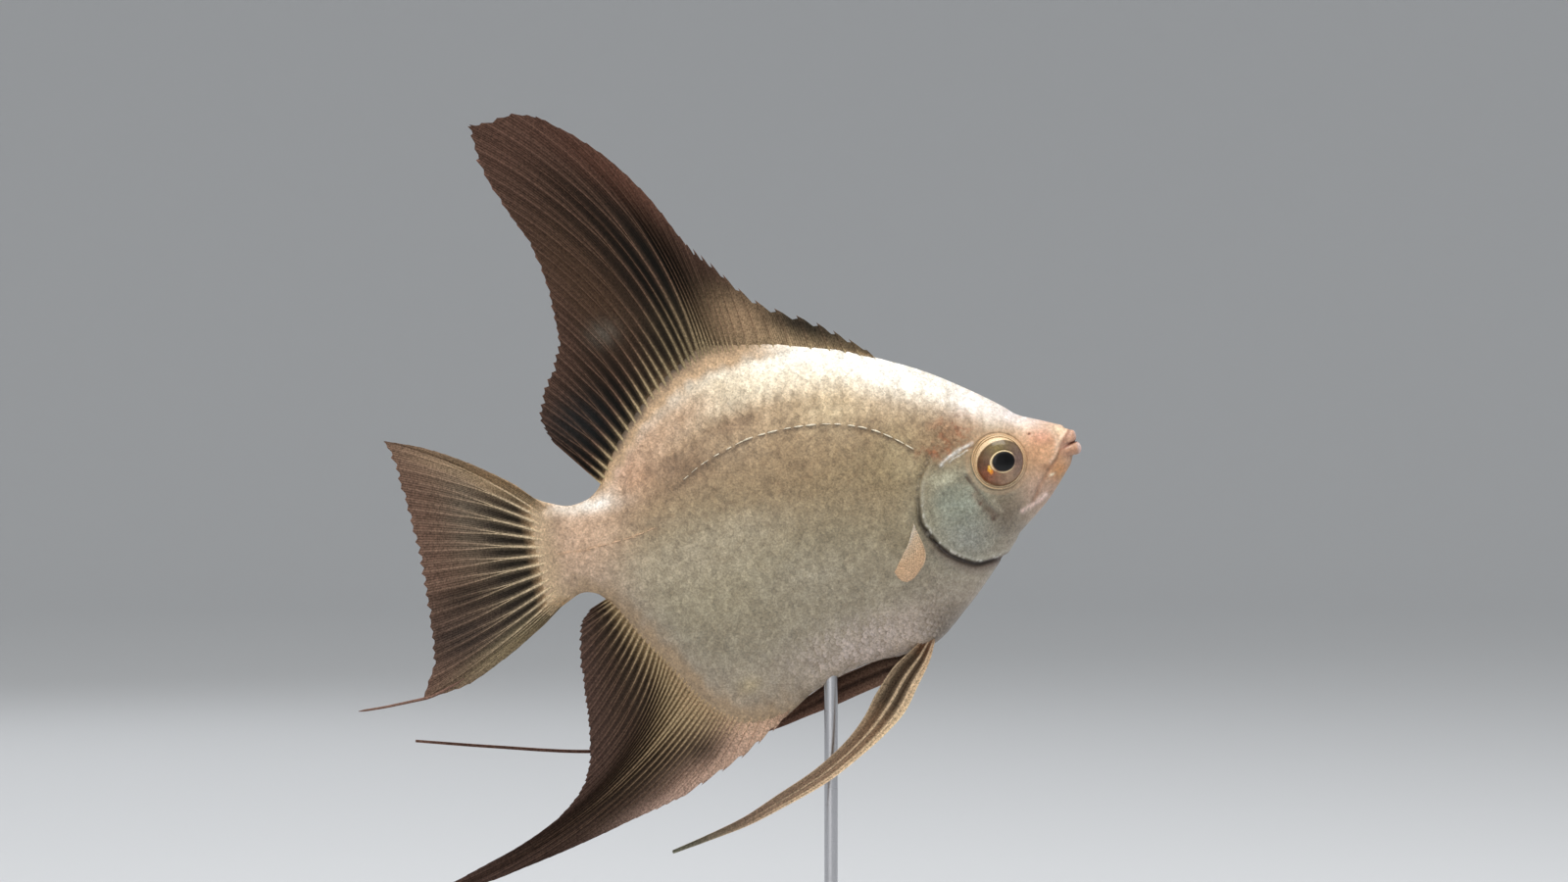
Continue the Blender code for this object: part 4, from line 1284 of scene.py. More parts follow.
@dataclass
class Skin:
    """The one skin over head, jaws, gill covers, trunk and tail stalk, with sockets, lips and creases."""

    steps: Curve = Curve(((1.8, 0.11), (8, 0.14), (14, 0.17), (17, 0.12), (26, 0.12), (30, 0.25),
                          (42, 0.45), (83, 0.46)))
    start: float = 1.8
    end: float = 82.6
    side_points: int = 236
    cap_rings: int = 26
    cap_bulge: float = 1.0
    mouth_height: float = 0.43
    depth: float = 0.15  # how far the skin lies inside the solids, for the coat
    bare_depth: float = 0.03
    core: tuple[float, float, float] = (6.5, 0, 0.3)
    samples: int = 4000  # from start to end, for spacing the rings
    swollen: float = 7.0  # how far behind the snout the lips end
    swell_most: float = 2.6
    swell_step: float = 0.03
    chart_reach: float = 44.0  # the furthest girth of the charts
    chart_step: float = 0.2  # from girth to girth
    chart_spare: int = 12  # points past each edge
    lips: tuple[Lip, ...] = (Lip(0.60, 1.42, 3, 0.15, 1.9, 0.56, 1.6),
                             Lip(0.28, -0.56, 3, -0.70, 1.9, 0.62, 1.5))
    upper_fold: Lip = Lip(1.25, 1.75, 3.3, 0.5, 2.1, 0.52, 1.7)  # the roll of skin behind the upper lip

    def station_places(self) -> Array:
        """Space the skin's rings, closest together on the head.

        Returns:
            Their distances behind the snout.
        """
        fine = np.linspace(self.start, self.end, self.samples)
        counted = np.concatenate([[0.0], np.cumsum(np.diff(fine) / self.steps.at(fine[1:]))])
        return np.interp(np.linspace(0, counted[-1], round(counted[-1])), counted, fine)

    def plain_rings(self, stations: Array) -> Array:
        """Draw the body's rings without relief.

        Args:
            stations: their distances behind the snout.

        Returns:
            The points of each ring, from the belly up the right side and down the left.
        """
        n = self.side_points
        turn = np.pi * np.arange(n + 1) / n - np.pi / 2
        rise = 0.4 * np.sin(turn) + 0.6 * turn / (np.pi / 2)
        behind = stations[:, None]
        low, high = BODY.edges(behind)
        middle = BODY.widest.at(behind)
        height = middle + np.where(rise > 0, (high - middle) * rise, (middle - low) * rise)
        out = BODY.breadth(np.broadcast_to(behind, height.shape), height)
        out[:, 0] = out[:, -1] = 0.0
        right = abreast(behind, -out, height)
        left = right[:, -2:0:-1] * np.array([1.0, -1.0, 1.0])
        return np.concatenate([right, left], axis=1)

    def snout_rings(self, first: Array) -> Array:
        """Draw the rings that close the snout.

        Args:
            first: the body's first ring.

        Returns:
            The points of each ring, the innermost first.
        """
        share = np.arange(1, self.cap_rings) / self.cap_rings
        centre = np.array([0.0, 0.0, self.mouth_height])
        rings = centre + (first[None] - centre) * share[:, None, None]
        rings[..., 0] = self.start - self.cap_bulge * (1 - share[:, None] ** 2)
        return rings

    def swell_lips(self, grid: Array) -> Array:
        """Push the snout's skin out over both lips.

        Args:
            grid: the skin's points.

        Returns:
            The points, moved.
        """
        rows = int((grid[:, 0, 0] < self.swollen).sum())
        places = grid[:rows]
        outward = unit(places - np.array(self.core))
        reach = np.zeros(places.shape[:-1])
        for step in np.arange(0.0, self.swell_most, self.swell_step):
            spot = places + outward * step
            inside = np.max([lip.depth_in(spot) for lip in (*self.lips, self.upper_fold)], axis=0) > 0
            reach = np.where(inside, step, reach)
        grid = grid.copy()
        grid[:rows] = places + outward * reach[..., None]
        for _ in range(2):
            around = (np.roll(grid, 1, 1) + np.roll(grid, -1, 1)) / 2
            along = grid.copy()
            along[1:-1] = (grid[2:] + grid[:-2]) / 2
            share = (0.5 * ease(6.5, 5.5, grid[..., 0]))[..., None]
            grid = grid * (1 - share) + (around + along) / 2 * share
        return grid

    def shaped(self) -> tuple[Array, Array]:
        """The finished skin.

        Returns:
            The distances behind the snout of its rings, less than the first for the snout's own, and the
            points, ring by ring.
        """
        stations = self.station_places()
        rings = self.plain_rings(stations)
        normals = unit(np.cross(np.gradient(rings, axis=0), np.roll(rings, -1, 1) - np.roll(rings, 1, 1)))
        outward = np.sign(normals[..., 1] * rings[..., 1])
        normals = normals * np.where(outward.sum() < 0, -1.0, 1.0)
        behind, height = rings[..., 0], rings[..., 2]
        coat = self.bare_depth + (self.depth - self.bare_depth) * ease(9.0, 16.0, behind)
        taper = ease(0.0, 0.5, np.abs(rings[..., 1])) * 0.7 + 0.3
        rings = rings + normals * ((skin_relief(behind, height) - coat) * taper)[..., None]
        n = self.side_points
        rings[:, :n] = EYE.set_socket(rings[:, :n], Side.RIGHT)
        rings[:, n:] = EYE.set_socket(rings[:, n:], Side.LEFT)
        grid = self.swell_lips(np.concatenate([self.snout_rings(rings[0]), rings]))
        snout = self.start - np.arange(self.cap_rings - 1, 0, -1) * self.steps.at(self.start)
        return np.concatenate([snout, stations]), grid

    def girths(self, grid: Array, side: Side, spare: int = 0) -> tuple[Array, Array]:
        """Measure how far the skin's points lie round one side.

        Args:
            grid: the skin's points.
            side: which side.
            spare: how many points past the side's edges to measure as well.

        Returns:
            The points' numbers in a ring, from the lower edge up, and for each ring their girths from the
            middle one.
        """
        order = np.arange(-spare, self.side_points + spare + 1) * -side.value % (2 * self.side_points)
        steps = np.linalg.norm(np.diff(grid[:, order], axis=1), axis=-1)
        arcs = np.concatenate([np.zeros((len(grid), 1)), np.cumsum(steps, axis=1)], axis=1)
        return order, arcs - arcs[:, [spare + self.side_points // 2]]

    def chart(self, stations: Array, grid: Array, side: Side) -> SkinChart:
        """Measure one side of the skin for the coat.

        Args:
            stations: the rings' distances behind the snout.
            grid: the skin's points.
            side: which side.

        Returns:
            The chart.
        """
        spare = self.chart_spare
        order, arcs = self.girths(grid, side, spare)
        girths = np.arange(-self.chart_reach, self.chart_reach, self.chart_step)
        table = np.stack([[np.interp(girths, arc, line[:, axis]) for arc, line in zip(arcs, grid[:, order])]
                          for axis in range(3)], axis=-1)
        return SkinChart(stations, girths, table, arcs[:, spare], arcs[:, spare + self.side_points], side)

    def corner_map(self, stations: Array, grid: Array, faces: Array) -> Array:
        """Unwrap the skin.

        Args:
            stations: the rings' distances behind the snout.
            grid: the skin's points.
            faces: its quads.

        Returns:
            The place on the map of each corner of each quad.
        """
        n, count = self.side_points, 2 * self.side_points
        maps = {}
        for side in Side:
            order, arcs = self.girths(grid, side)
            full = np.zeros((len(grid), count, 2))
            full[:, order] = unwrap(side, stations[:, None], arcs)
            maps[side] = full.reshape(-1, 2)
        ring = faces % count
        on_right = (ring.min(axis=1) < n) & (ring.max(axis=1) <= n)
        right, left = maps[Side.RIGHT][faces], maps[Side.LEFT][faces]
        return np.where(on_right[:, None, None], right, left).reshape(-1, 2)

    def build(self) -> dict[Side, SkinChart]:
        """Make the skin piece.

        Returns:
            The chart of each side, for the coat.
        """
        stations, grid = self.shaped()
        rings, count = grid.shape[:2]
        faces = grid_faces(rings, count, wrap=True)[:, ::-1]
        points = grid.reshape(-1, 3)
        paint = MARKINGS.colour(points[:, 0], points[:, 2])
        paint = self.paint_mouth(points, paint)
        parts = MeshParts(points, [faces], paint, self.corner_map(stations, grid, faces))
        piece = self.close_ends(parts, grid).build("skin")
        fit_piece(piece, SKIN_FINISH, "skin", "head", "trunk", "tail_stalk", "gill_cover_right",
                  "gill_cover_left", "upper_jaw", "lower_jaw")
        return {side: self.chart(stations, grid, side) for side in Side}

    def close_ends(self, parts: MeshParts, grid: Array) -> MeshParts:
        """Close the snout's innermost ring and the tail's last one with fans.

        Args:
            parts: the skin's mesh.
            grid: its points, ring by ring.

        Returns:
            The closed mesh.
        """
        rings, count = grid.shape[:2]
        start, last = len(parts.points), (rings - 1) * count
        middles = np.stack([grid[0].mean(axis=0), grid[-1].mean(axis=0)])
        corner = parts.corner_map.reshape(-1, 4, 2)
        fill = [np.repeat(corner[row, :3][None], count, axis=0).reshape(-1, 2) for row in (0, -1)]
        points = np.concatenate([parts.points, middles])
        faces = [*parts.faces, end_fans(count, last, start)[:, ::-1]]
        paint = np.concatenate([parts.paint, parts.paint[[0, last]]])
        return MeshParts(points, faces, paint, np.concatenate([parts.corner_map, *fill]))

    def paint_mouth(self, points: Array, paint: Array) -> Array:
        """Tint the lips pink, with painted shade where the lips meet and in the mouth's slit.

        Args:
            points: the skin's points.
            paint: their colours.

        Returns:
            The new colours.
        """
        depths = [lip.depth_in(points) for lip in (*self.lips, self.upper_fold)]
        for depth, shade in zip(depths, ((204, 158, 134), (184, 138, 110), (228, 194, 164))):
            paint = painted(paint, shade, 0.8 * ease(-0.35, -0.05, depth))
        ahead = np.min([lip.front - lip.radius for lip in self.lips])
        paint = painted(paint, (232, 214, 214), 0.55 * ease(ahead + 0.9, ahead + 0.2, points[:, 0]))
        near_two = np.sort(depths, axis=0)
        # Painted shade where the lips meet
        lip_crease_shade = ease(-0.34, -0.10, near_two[-2]) * ease(4.0, 2.0, points[:, 0])
        paint = painted(paint, (150, 98, 80), 0.7 * lip_crease_shade)
        # Painted shade in the mouth's slit
        mouth_slit_shade = bell(points[:, 2] - self.mouth_height, 0.16) * ease(2.4, 1.2, points[:, 0])
        return painted(paint, (96, 52, 44), 0.85 * mouth_slit_shade)


# The coat


@dataclass(frozen=True)
class ScalePattern:
    """One kind of scale: its size in millimetres, how its rows are spaced, and how it lies."""

    long: float
    tall: float
    step: float  # from scale to scale along a row
    row_gap: float
    lift: float  # how far the rear margin stands out from the skin
    lie_degrees: float = 0.0  # the rear margin turned towards the fin
    across: int = 7
    along: int = 4

    def outline(self) -> tuple[Array, Array, Array]:
        """One scale's own points, its underside's middle last.

        Returns:
            How far behind its root, across, and out from the skin each point lies, as shares of its
            length, half its height and its lift.
        """
        side = np.linspace(-1, 1, self.across)[None, :]
        share = np.linspace(0, 1, self.along)[:, None] ** 0.85
        front = 0.16 * side**2
        rear = 1 - 0.34 * np.abs(side) ** 2.3
        behind = front + (rear - front) * share
        width = 0.80 + 0.20 * np.sin(np.pi * np.minimum(share, 0.62) / 1.24)
        out = -0.30 + 1.30 * share**0.9 + 0.22 * (1 - side**2) * np.sin(np.pi * share * 0.8)
        middle = (0.55, 0.0, 0.05)
        return tuple(np.append(part.ravel(), end) for part, end in zip((behind, side * width, out), middle))

    def faces(self) -> tuple[Array, Array]:
        """One scale's quads on top and triangles below."""
        rim = rim_of(self.along, self.across)
        return grid_faces(self.along, self.across), abreast(np.roll(rim, -1), rim, self.along * self.across)


class CoatZone(Enum):
    """The parts of the fish that carry scales of their own kind."""

    TRUNK = ScalePattern(1.75, 1.62, 1.10, 0.62, 0.125, across=6)
    FACE = ScalePattern(1.00, 0.96, 0.70, 0.40, 0.055, across=5, along=3)
    SHEATH = ScalePattern(1.30, 0.62, 0.80, 0.33, 0.09, 50, across=5, along=4)

    def fullness(self, behind: Array, height: Array) -> Array:
        """Tell how well grown the scales of this kind are.

        Args:
            behind: distances behind the snout.
            height: their heights.

        Returns:
            0 where there are none, up to 1 at full size.
        """
        gill, _, past = GILL_EDGE.measure(behind, height)
        eye = np.hypot(behind - EYE.behind, height - EYE.height)
        above_back = height - BODY.back.at(behind)
        below_belly = BODY.belly.at(behind) - height
        on_anal_sheath = (below_belly > -0.6) & (behind > 50) & (behind < 72)
        on_sheath = ((above_back > -0.8) & (behind > 40)) | on_anal_sheath
        temple = 3.4 - 0.22 * (behind - 16.0)
        in_face = (gill > 0) & (height < temple) & (behind < 25.5)
        ragged = 0.9 * Mottle(1.6, 1.3, 31).at(behind, height)
        if self is CoatZone.SHEATH:
            dorsal = np.maximum(BODY.dorsal_sheath.at(behind), 0.5)
            anal = np.maximum(BODY.anal_sheath.at(behind), 0.5)
            climb = np.where(above_back > -1, above_back / dorsal, below_belly / anal)
            return np.where(on_sheath, ease(0.95, 0.3, climb + 0.2 * ragged), 0.0)
        if self is CoatZone.FACE:
            jaw = 10.2 + 0.20 * np.maximum(height + 12.0, 0.0)
            edge = ((gill > 1.15) | (past > 0.5)) & (height < temple - 0.8) & (eye > 5.2)
            return np.where(in_face & edge, ease(-0.2, 2.6, behind - jaw + 0.6 * ragged), 0.0)
        nape = 17.6 - 0.22 * (height - 6.0)
        clear = (gill < -0.10) | (gill > 0.5) | (past > 0.6)
        grown = ease(-1.0, 6.0, behind - nape + ragged) * ease(82.4, 79.0, behind + 0.8 * ragged)
        return np.where(~in_face & ~on_sheath & (eye > 5.6) & clear, grown, 0.0)


@dataclass
class Coat:
    """The scales, in overlapping staggered rows over the skin, and the tubes of the lateral line."""

    seed: int = 7
    size_along: Curve = Curve(((0, 0.85), (14, 0.78), (24, 0.90), (38, 1), (60, 0.96), (72, 0.78),
                               (83, 0.62)))
    patch_size: float = 0.003  # across one scale's place on the bake map
    # How much painted shade, tinted brown, darkens the gaps between scales, from the belly's edge, 0, to the
    # back's edge, 1
    gap_shade_depth: Curve = Curve(((0, 0.22), (0.3, 0.20), (0.66, 0.24), (0.78, 0.40), (0.88, 0.40), (0.95, 0.22),
                              (1, 0.20), (1.05, 0.50)))
    flatness: Curve = Curve(((8, 0.45), (22, 0.42), (34, 0.45), (48, 0.5)))  # how far the scales stand out
    # Where the belly's scales have painted highlights on their rear margins and deeper painted shade in their
    # gaps
    belly_highlights_and_gap_shade: Patch = Patch(36, -22.6, 10, 3.6, (222, 206, 198), 1, 4)
    # How strongly red, green and blue darken in the gaps' painted shade
    gap_shade_bias: tuple[float, float, float] = (0.85, 1.0, 1.25)
    start: float = 8.0  # how far behind the snout the scales begin
    end: float = 82.6
    samples: int = 1500  # from start to end, for spacing the scales
    size_range: tuple[float, float] = (0.93, 1.07)  # how much scales that lie side by side differ
    lift_range: tuple[float, float] = (0.7, 1.3)
    jitter: float = 0.03  # millimetres
    lie_jitter: float = 3.0  # degrees
    tube_gap: float = 1.9
    tube_length: float = 1.45
    tube_radius: float = 0.15
    tube_profile: tuple[float, ...] = (0.35, 0.85, 1, 1, 0.8, 0.3)  # shares of its radius, down its length
    tube_sides: int = 8
    tube_rise: float = 0.15

    def roots(self, pattern: ScalePattern, chart: SkinChart) -> tuple[Array, Array]:
        """Where the scales of a pattern could be rooted on one side.

        Args:
            pattern: the kind of scale.
            chart: that side of the skin.

        Returns:
            Each root's distance behind the snout and its girth.
        """
        fine = np.linspace(self.start, self.end, self.samples)
        steps = np.diff(fine) / (pattern.step * self.size_along.at(fine[1:]))
        counted = np.concatenate([[0.0], np.cumsum(steps)])
        most = int(max(chart.highest.max(), -chart.lowest.min()) / (pattern.row_gap * 0.6))
        behind, girth = [], []
        for row in range(-most, most + 1):
            spots = np.interp(np.arange(0.0, counted[-1]) + 0.5 * (row % 2), counted, fine)
            behind.append(spots)
            girth.append(row * pattern.row_gap * self.size_along.at(spots))
        behind, girth = np.concatenate(behind), np.concatenate(girth)
        low = np.interp(behind, chart.stations, chart.lowest)
        high = np.interp(behind, chart.stations, chart.highest)
        inside = (girth > low + 0.1) & (girth < high - 0.1)
        return behind[inside], girth[inside]

    def lay(self, zone: CoatZone, chart: SkinChart, rng: np.random.Generator) -> MeshParts:
        """Lay one kind of scale over one side.

        Args:
            zone: the kind of scale and where it grows.
            chart: that side of the skin.
            rng: the seeded source of small differences.

        Returns:
            The scales as one mesh.
        """
        pattern = zone.value
        behind, girth = self.roots(pattern, chart)
        spot = chart.read(chart.places, behind, girth)
        grown = zone.fullness(spot[..., 0], spot[..., 2])
        kept = grown > 0.01
        behind, girth, spot, grown = behind[kept], girth[kept], spot[kept], 0.45 + 0.55 * grown[kept]
        count = len(behind)
        size = self.size_along.at(behind) * grown * rng.uniform(*self.size_range, count)
        behind = behind + rng.normal(0, self.jitter, count)
        girth = girth + rng.normal(0, self.jitter, count)
        lie = pattern.lie_degrees * np.sign(girth) + rng.normal(0, self.lie_jitter, count)
        lie = np.radians(lie)[:, None]
        along, across, out = pattern.outline()
        x = along[None] * (pattern.long * size)[:, None]
        y = across[None] * (pattern.tall / 2 * size)[:, None]
        stands = self.flatness.at(behind)
        z = out[None] * (pattern.lift * size * grown * stands * rng.uniform(*self.lift_range, count))[:, None]
        b = behind[:, None] + x * np.cos(lie) - y * np.sin(lie)
        g = girth[:, None] + x * np.sin(lie) + y * np.cos(lie)
        places = chart.read(chart.places, b, g) + unit(chart.read(chart.normals(), b, g)) * z[..., None]
        paint = self.paint(places, spot, stands, along, across, rng)
        top, under = pattern.faces()
        step = (np.arange(count) * len(along))[:, None, None]
        turn = -1 if chart.side is Side.RIGHT else 1
        faces = [(group[None] + step).reshape(-1, group.shape[1])[:, ::turn] for group in (top, under)]
        patch = abreast(along - 0.5, across / 2)[None] * self.patch_size
        patch = unwrap(chart.side, behind, girth)[:, None] + patch
        corner_map = np.concatenate([patch.reshape(-1, 2)[group].reshape(-1, 2) for group in faces])
        return MeshParts(places.reshape(-1, 3), faces, paint.reshape(-1, 3), corner_map)

    def paint(self, places: Array, spot: Array, stands: Array, along: Array, across: Array,
              rng: np.random.Generator) -> Array:
        """Paint the scales in the skin's colours, with painted shade in the gaps and painted highlights on the
        rear margins.

        Args:
            places: each scale's points.
            spot: where its root is.
            stands: how far it stands out.
            along: how far behind the root each point is.
            across: how far above or below it.
            rng: the seeded source of small differences.

        Returns:
            Linear colours.
        """
        count, (root_behind, _, root_height) = len(spot), spot.T
        paint = MARKINGS.colour(places[..., 0], places[..., 2])
        paint = paint * rng.normal(1.0, 0.075, count)[:, None, None]
        # Painted shade in the gaps, deeper on the belly's front
        depth = self.gap_shade_depth.at(MARKINGS.level(root_behind, root_height)) * rng.uniform(0.6, 1.4, count)
        pale = self.belly_highlights_and_gap_shade.share(root_behind, root_height)
        depth = depth * stands + 0.75 * pale
        margin = ease(0.45, 0.85, along) * rng.uniform(0.2, 1.0, count)[:, None]
        # Painted highlights on the belly scales' rear margins
        paint = painted(paint, self.belly_highlights_and_gap_shade.shade, 0.9 * pale[:, None] * margin)
        # Painted sheen on the rear margins of the upper scales
        margin_sheen = np.interp(root_height / 30, [0.3, 0.5, 0.8], [0.0, 0.16, 0.16])
        margin_sheen = margin_sheen * rng.uniform(0.2, 1.4, count)
        paint = paint * (1 + margin_sheen[:, None] * ease(0.55, 0.85, along)[None])[..., None]
        # Painted shade towards each scale's root, under the margin before it
        rise = ease(0.12, 0.70, along) * (1 - 0.25 * np.abs(across) ** 3)
        gap = np.clip(1 - depth[:, None] * (1 - rise)[None], 0.05, 1)[..., None]
        return np.clip(paint * gap ** np.array(self.gap_shade_bias), 0, 1)

    def line_tubes(self, chart: SkinChart) -> MeshParts:
        """Make the short pale tubes of the lateral line.

        Args:
            chart: one side of the skin.

        Returns:
            The tubes as one mesh.
        """
        tubes = []
        for route, slim, shade in ((LATERAL_LINE, 1.0, (222, 210, 186)), (REAR_LINE, 0.62, (206, 172, 140))):
            line = route.line()
            steps = np.concatenate([[0.0], np.cumsum(np.linalg.norm(np.diff(line, axis=0), axis=1))])
            rng = np.random.default_rng(self.seed + 40)
            for start in np.arange(0.3, steps[-1] - self.tube_length, self.tube_gap):
                at = start + rng.uniform(-0.2, 0.2)
                at = at + np.linspace(0, self.tube_length * rng.uniform(0.6, 1.1), len(self.tube_profile))
                thin = slim * rng.uniform(0.45, 1.05) * (1 - 0.5 * ease(0.55, 1.0, start / steps[-1]))
                behind, height = (np.interp(at, steps, column) for column in line.T)
                girth = self.girth_of(chart, behind, height)
                normal = unit(chart.read(chart.normals(), behind, girth))
                middle = chart.read(chart.places, behind, girth) + normal * (self.tube_rise * slim)
                radii = self.tube_radius * thin * np.array(self.tube_profile)
                map_spot = unwrap(chart.side, behind.mean(), girth.mean())
                shape = (middle, radii, self.tube_sides, linear(*shade))
                tubes.append(tube_parts(*shape, map_spot, self.patch_size))
        return joined(tubes)

    def girth_of(self, chart: SkinChart, behind: Array, height: Array) -> Array:
        """Find where round the skin the given places are.

        Args:
            chart: one side of the skin.
            behind: distances behind the snout.
            height: their heights.

        Returns:
            Their girths.
        """
        found = []
        for b, h in zip(behind, height):
            column = chart.read(chart.places, np.full(len(chart.girths), b), chart.girths)[:, 2]
            low, high = np.argmin(column), np.argmax(column)
            found.append(np.interp(h, column[low:high], chart.girths[low:high]))
        return np.array(found)

    def build(self, charts: dict[Side, SkinChart]) -> None:
        """Make the coat's pieces, one for each zone and side.

        Args:
            charts: the skin on each side.
        """
        for side, chart in charts.items():
            rng = np.random.default_rng(self.seed + side.value)
            for zone in CoatZone:
                piece = self.lay(zone, chart, rng).build(f"scales_{zone.name.lower()}_{side.word}")
                fit_piece(piece, SCALE_FINISH, "skin")
            piece = self.line_tubes(chart).build(f"lateral_line_{side.word}")
            fit_piece(piece, SCALE_FINISH, "skin")


def tube_parts(line: Array, radii: Array, sides: int, shade: Array, map_spot: Array | None = None,
               map_size: float = 0.0) -> MeshParts:
    """A closed round tube.

    Args:
        line: the points down its middle.
        radii: its radius at each point.
        sides: how many points round it.
        shade: its linear colour.
        map_spot: where it lies on the bake map, or None for no map.
        map_size: how much of the map it takes.

    Returns:
        The tube's mesh.
    """
    ahead = unit(np.gradient(line, axis=0))
    aside = unit(np.cross(ahead, np.array([0.05, 0.0, 1.0])))
    up = np.cross(aside, ahead)
    turn = all_round(sides)
    ring = aside[:, None] * np.cos(turn)[None, :, None] + up[:, None] * np.sin(turn)[None, :, None]
    points = (line[:, None] + ring * radii[:, None, None]).reshape(-1, 3)
    points, count = np.concatenate([points, line[[0, -1]]]), len(line)
    faces = [grid_faces(count, sides, wrap=True), end_fans(sides, (count - 1) * sides, count * sides)]
    faces = [group[:, ::-1] for group in faces]
    paint = np.repeat(shade[None], len(points), axis=0)
    if map_spot is None:
        return MeshParts(points, faces, paint)
    share = np.append(np.repeat(np.linspace(0, 1, count), sides), [0.0, 1.0])
    round_it = np.append(np.tile(np.arange(sides) / sides, count), [0.5, 0.5])
    spots = map_spot + (abreast(share, round_it) - 0.5) * map_size
    return MeshParts(points, faces, paint, np.concatenate([spots[group].reshape(-1, 2) for group in faces]))


def joined(parts: list[MeshParts]) -> MeshParts:
    """Several meshes as one.

    Args:
        parts: the meshes, which all have paint, and which all have a map or none.

    Returns:
        One mesh that holds them all.
    """
    offsets = np.cumsum([0] + [len(part.points) for part in parts[:-1]])
    faces = [group + offset for part, offset in zip(parts, offsets) for group in part.faces]
    maps = None
    if parts[0].corner_map is not None:
        maps = np.concatenate([part.corner_map for part in parts])
    rays = [np.zeros_like(part.points) if part.rays is None else part.rays for part in parts]
    points, paint = (np.concatenate([getattr(part, of) for part in parts]) for of in ("points", "paint"))
    return MeshParts(points, faces, paint, maps, np.concatenate(rays))


# Fins


def fin_sway(behind: Array, height: Array) -> Array:
    """The sideways lie of a median fin: a gentle wave that grows away from the body.

    Args:
        behind: distances behind the snout.
        height: their heights.

    Returns:
        How far to its left the fin lies.
    """
    away = np.maximum(0.0, np.abs(height) - 24.0) / 40.0 + np.maximum(0.0, behind - 80.0) / 30.0
    return 1.6 * away * np.sin(0.11 * behind + 0.05 * height)


@dataclass(frozen=True)
class FinShades:
    """The colours of a fin's rays and of the skin between them, as (share of the ray, red, green, blue)."""

    rays: Stops
    skin: Stops
    patches: tuple[Patch, ...] = ()
    edge: Shade | None = None

    def colour(self, share: Array, ray: Array, behind: Array, height: Array) -> Array:
        """Read the fin's colour.

        Args:
            share: how far along its ray each place is.
            ray: how much of a ray's colour it has.
            behind: how far behind the snout it is.
            height: its height.

        Returns:
            Linear colours.
        """
        colour, rays = shade_at(self.skin, share), shade_at(self.rays, share)
        for patch in self.patches:
            shown = patch.share(behind, height)
            colour, rays = painted(colour, patch.shade, shown), painted(rays, patch.shade, 0.5 * shown)
        if self.edge is not None:
            colour = painted(colour, self.edge, 0.7 * ease(0.975, 1.0, share))
        return np.clip(mixed(colour, rays, ray), 0, 1)


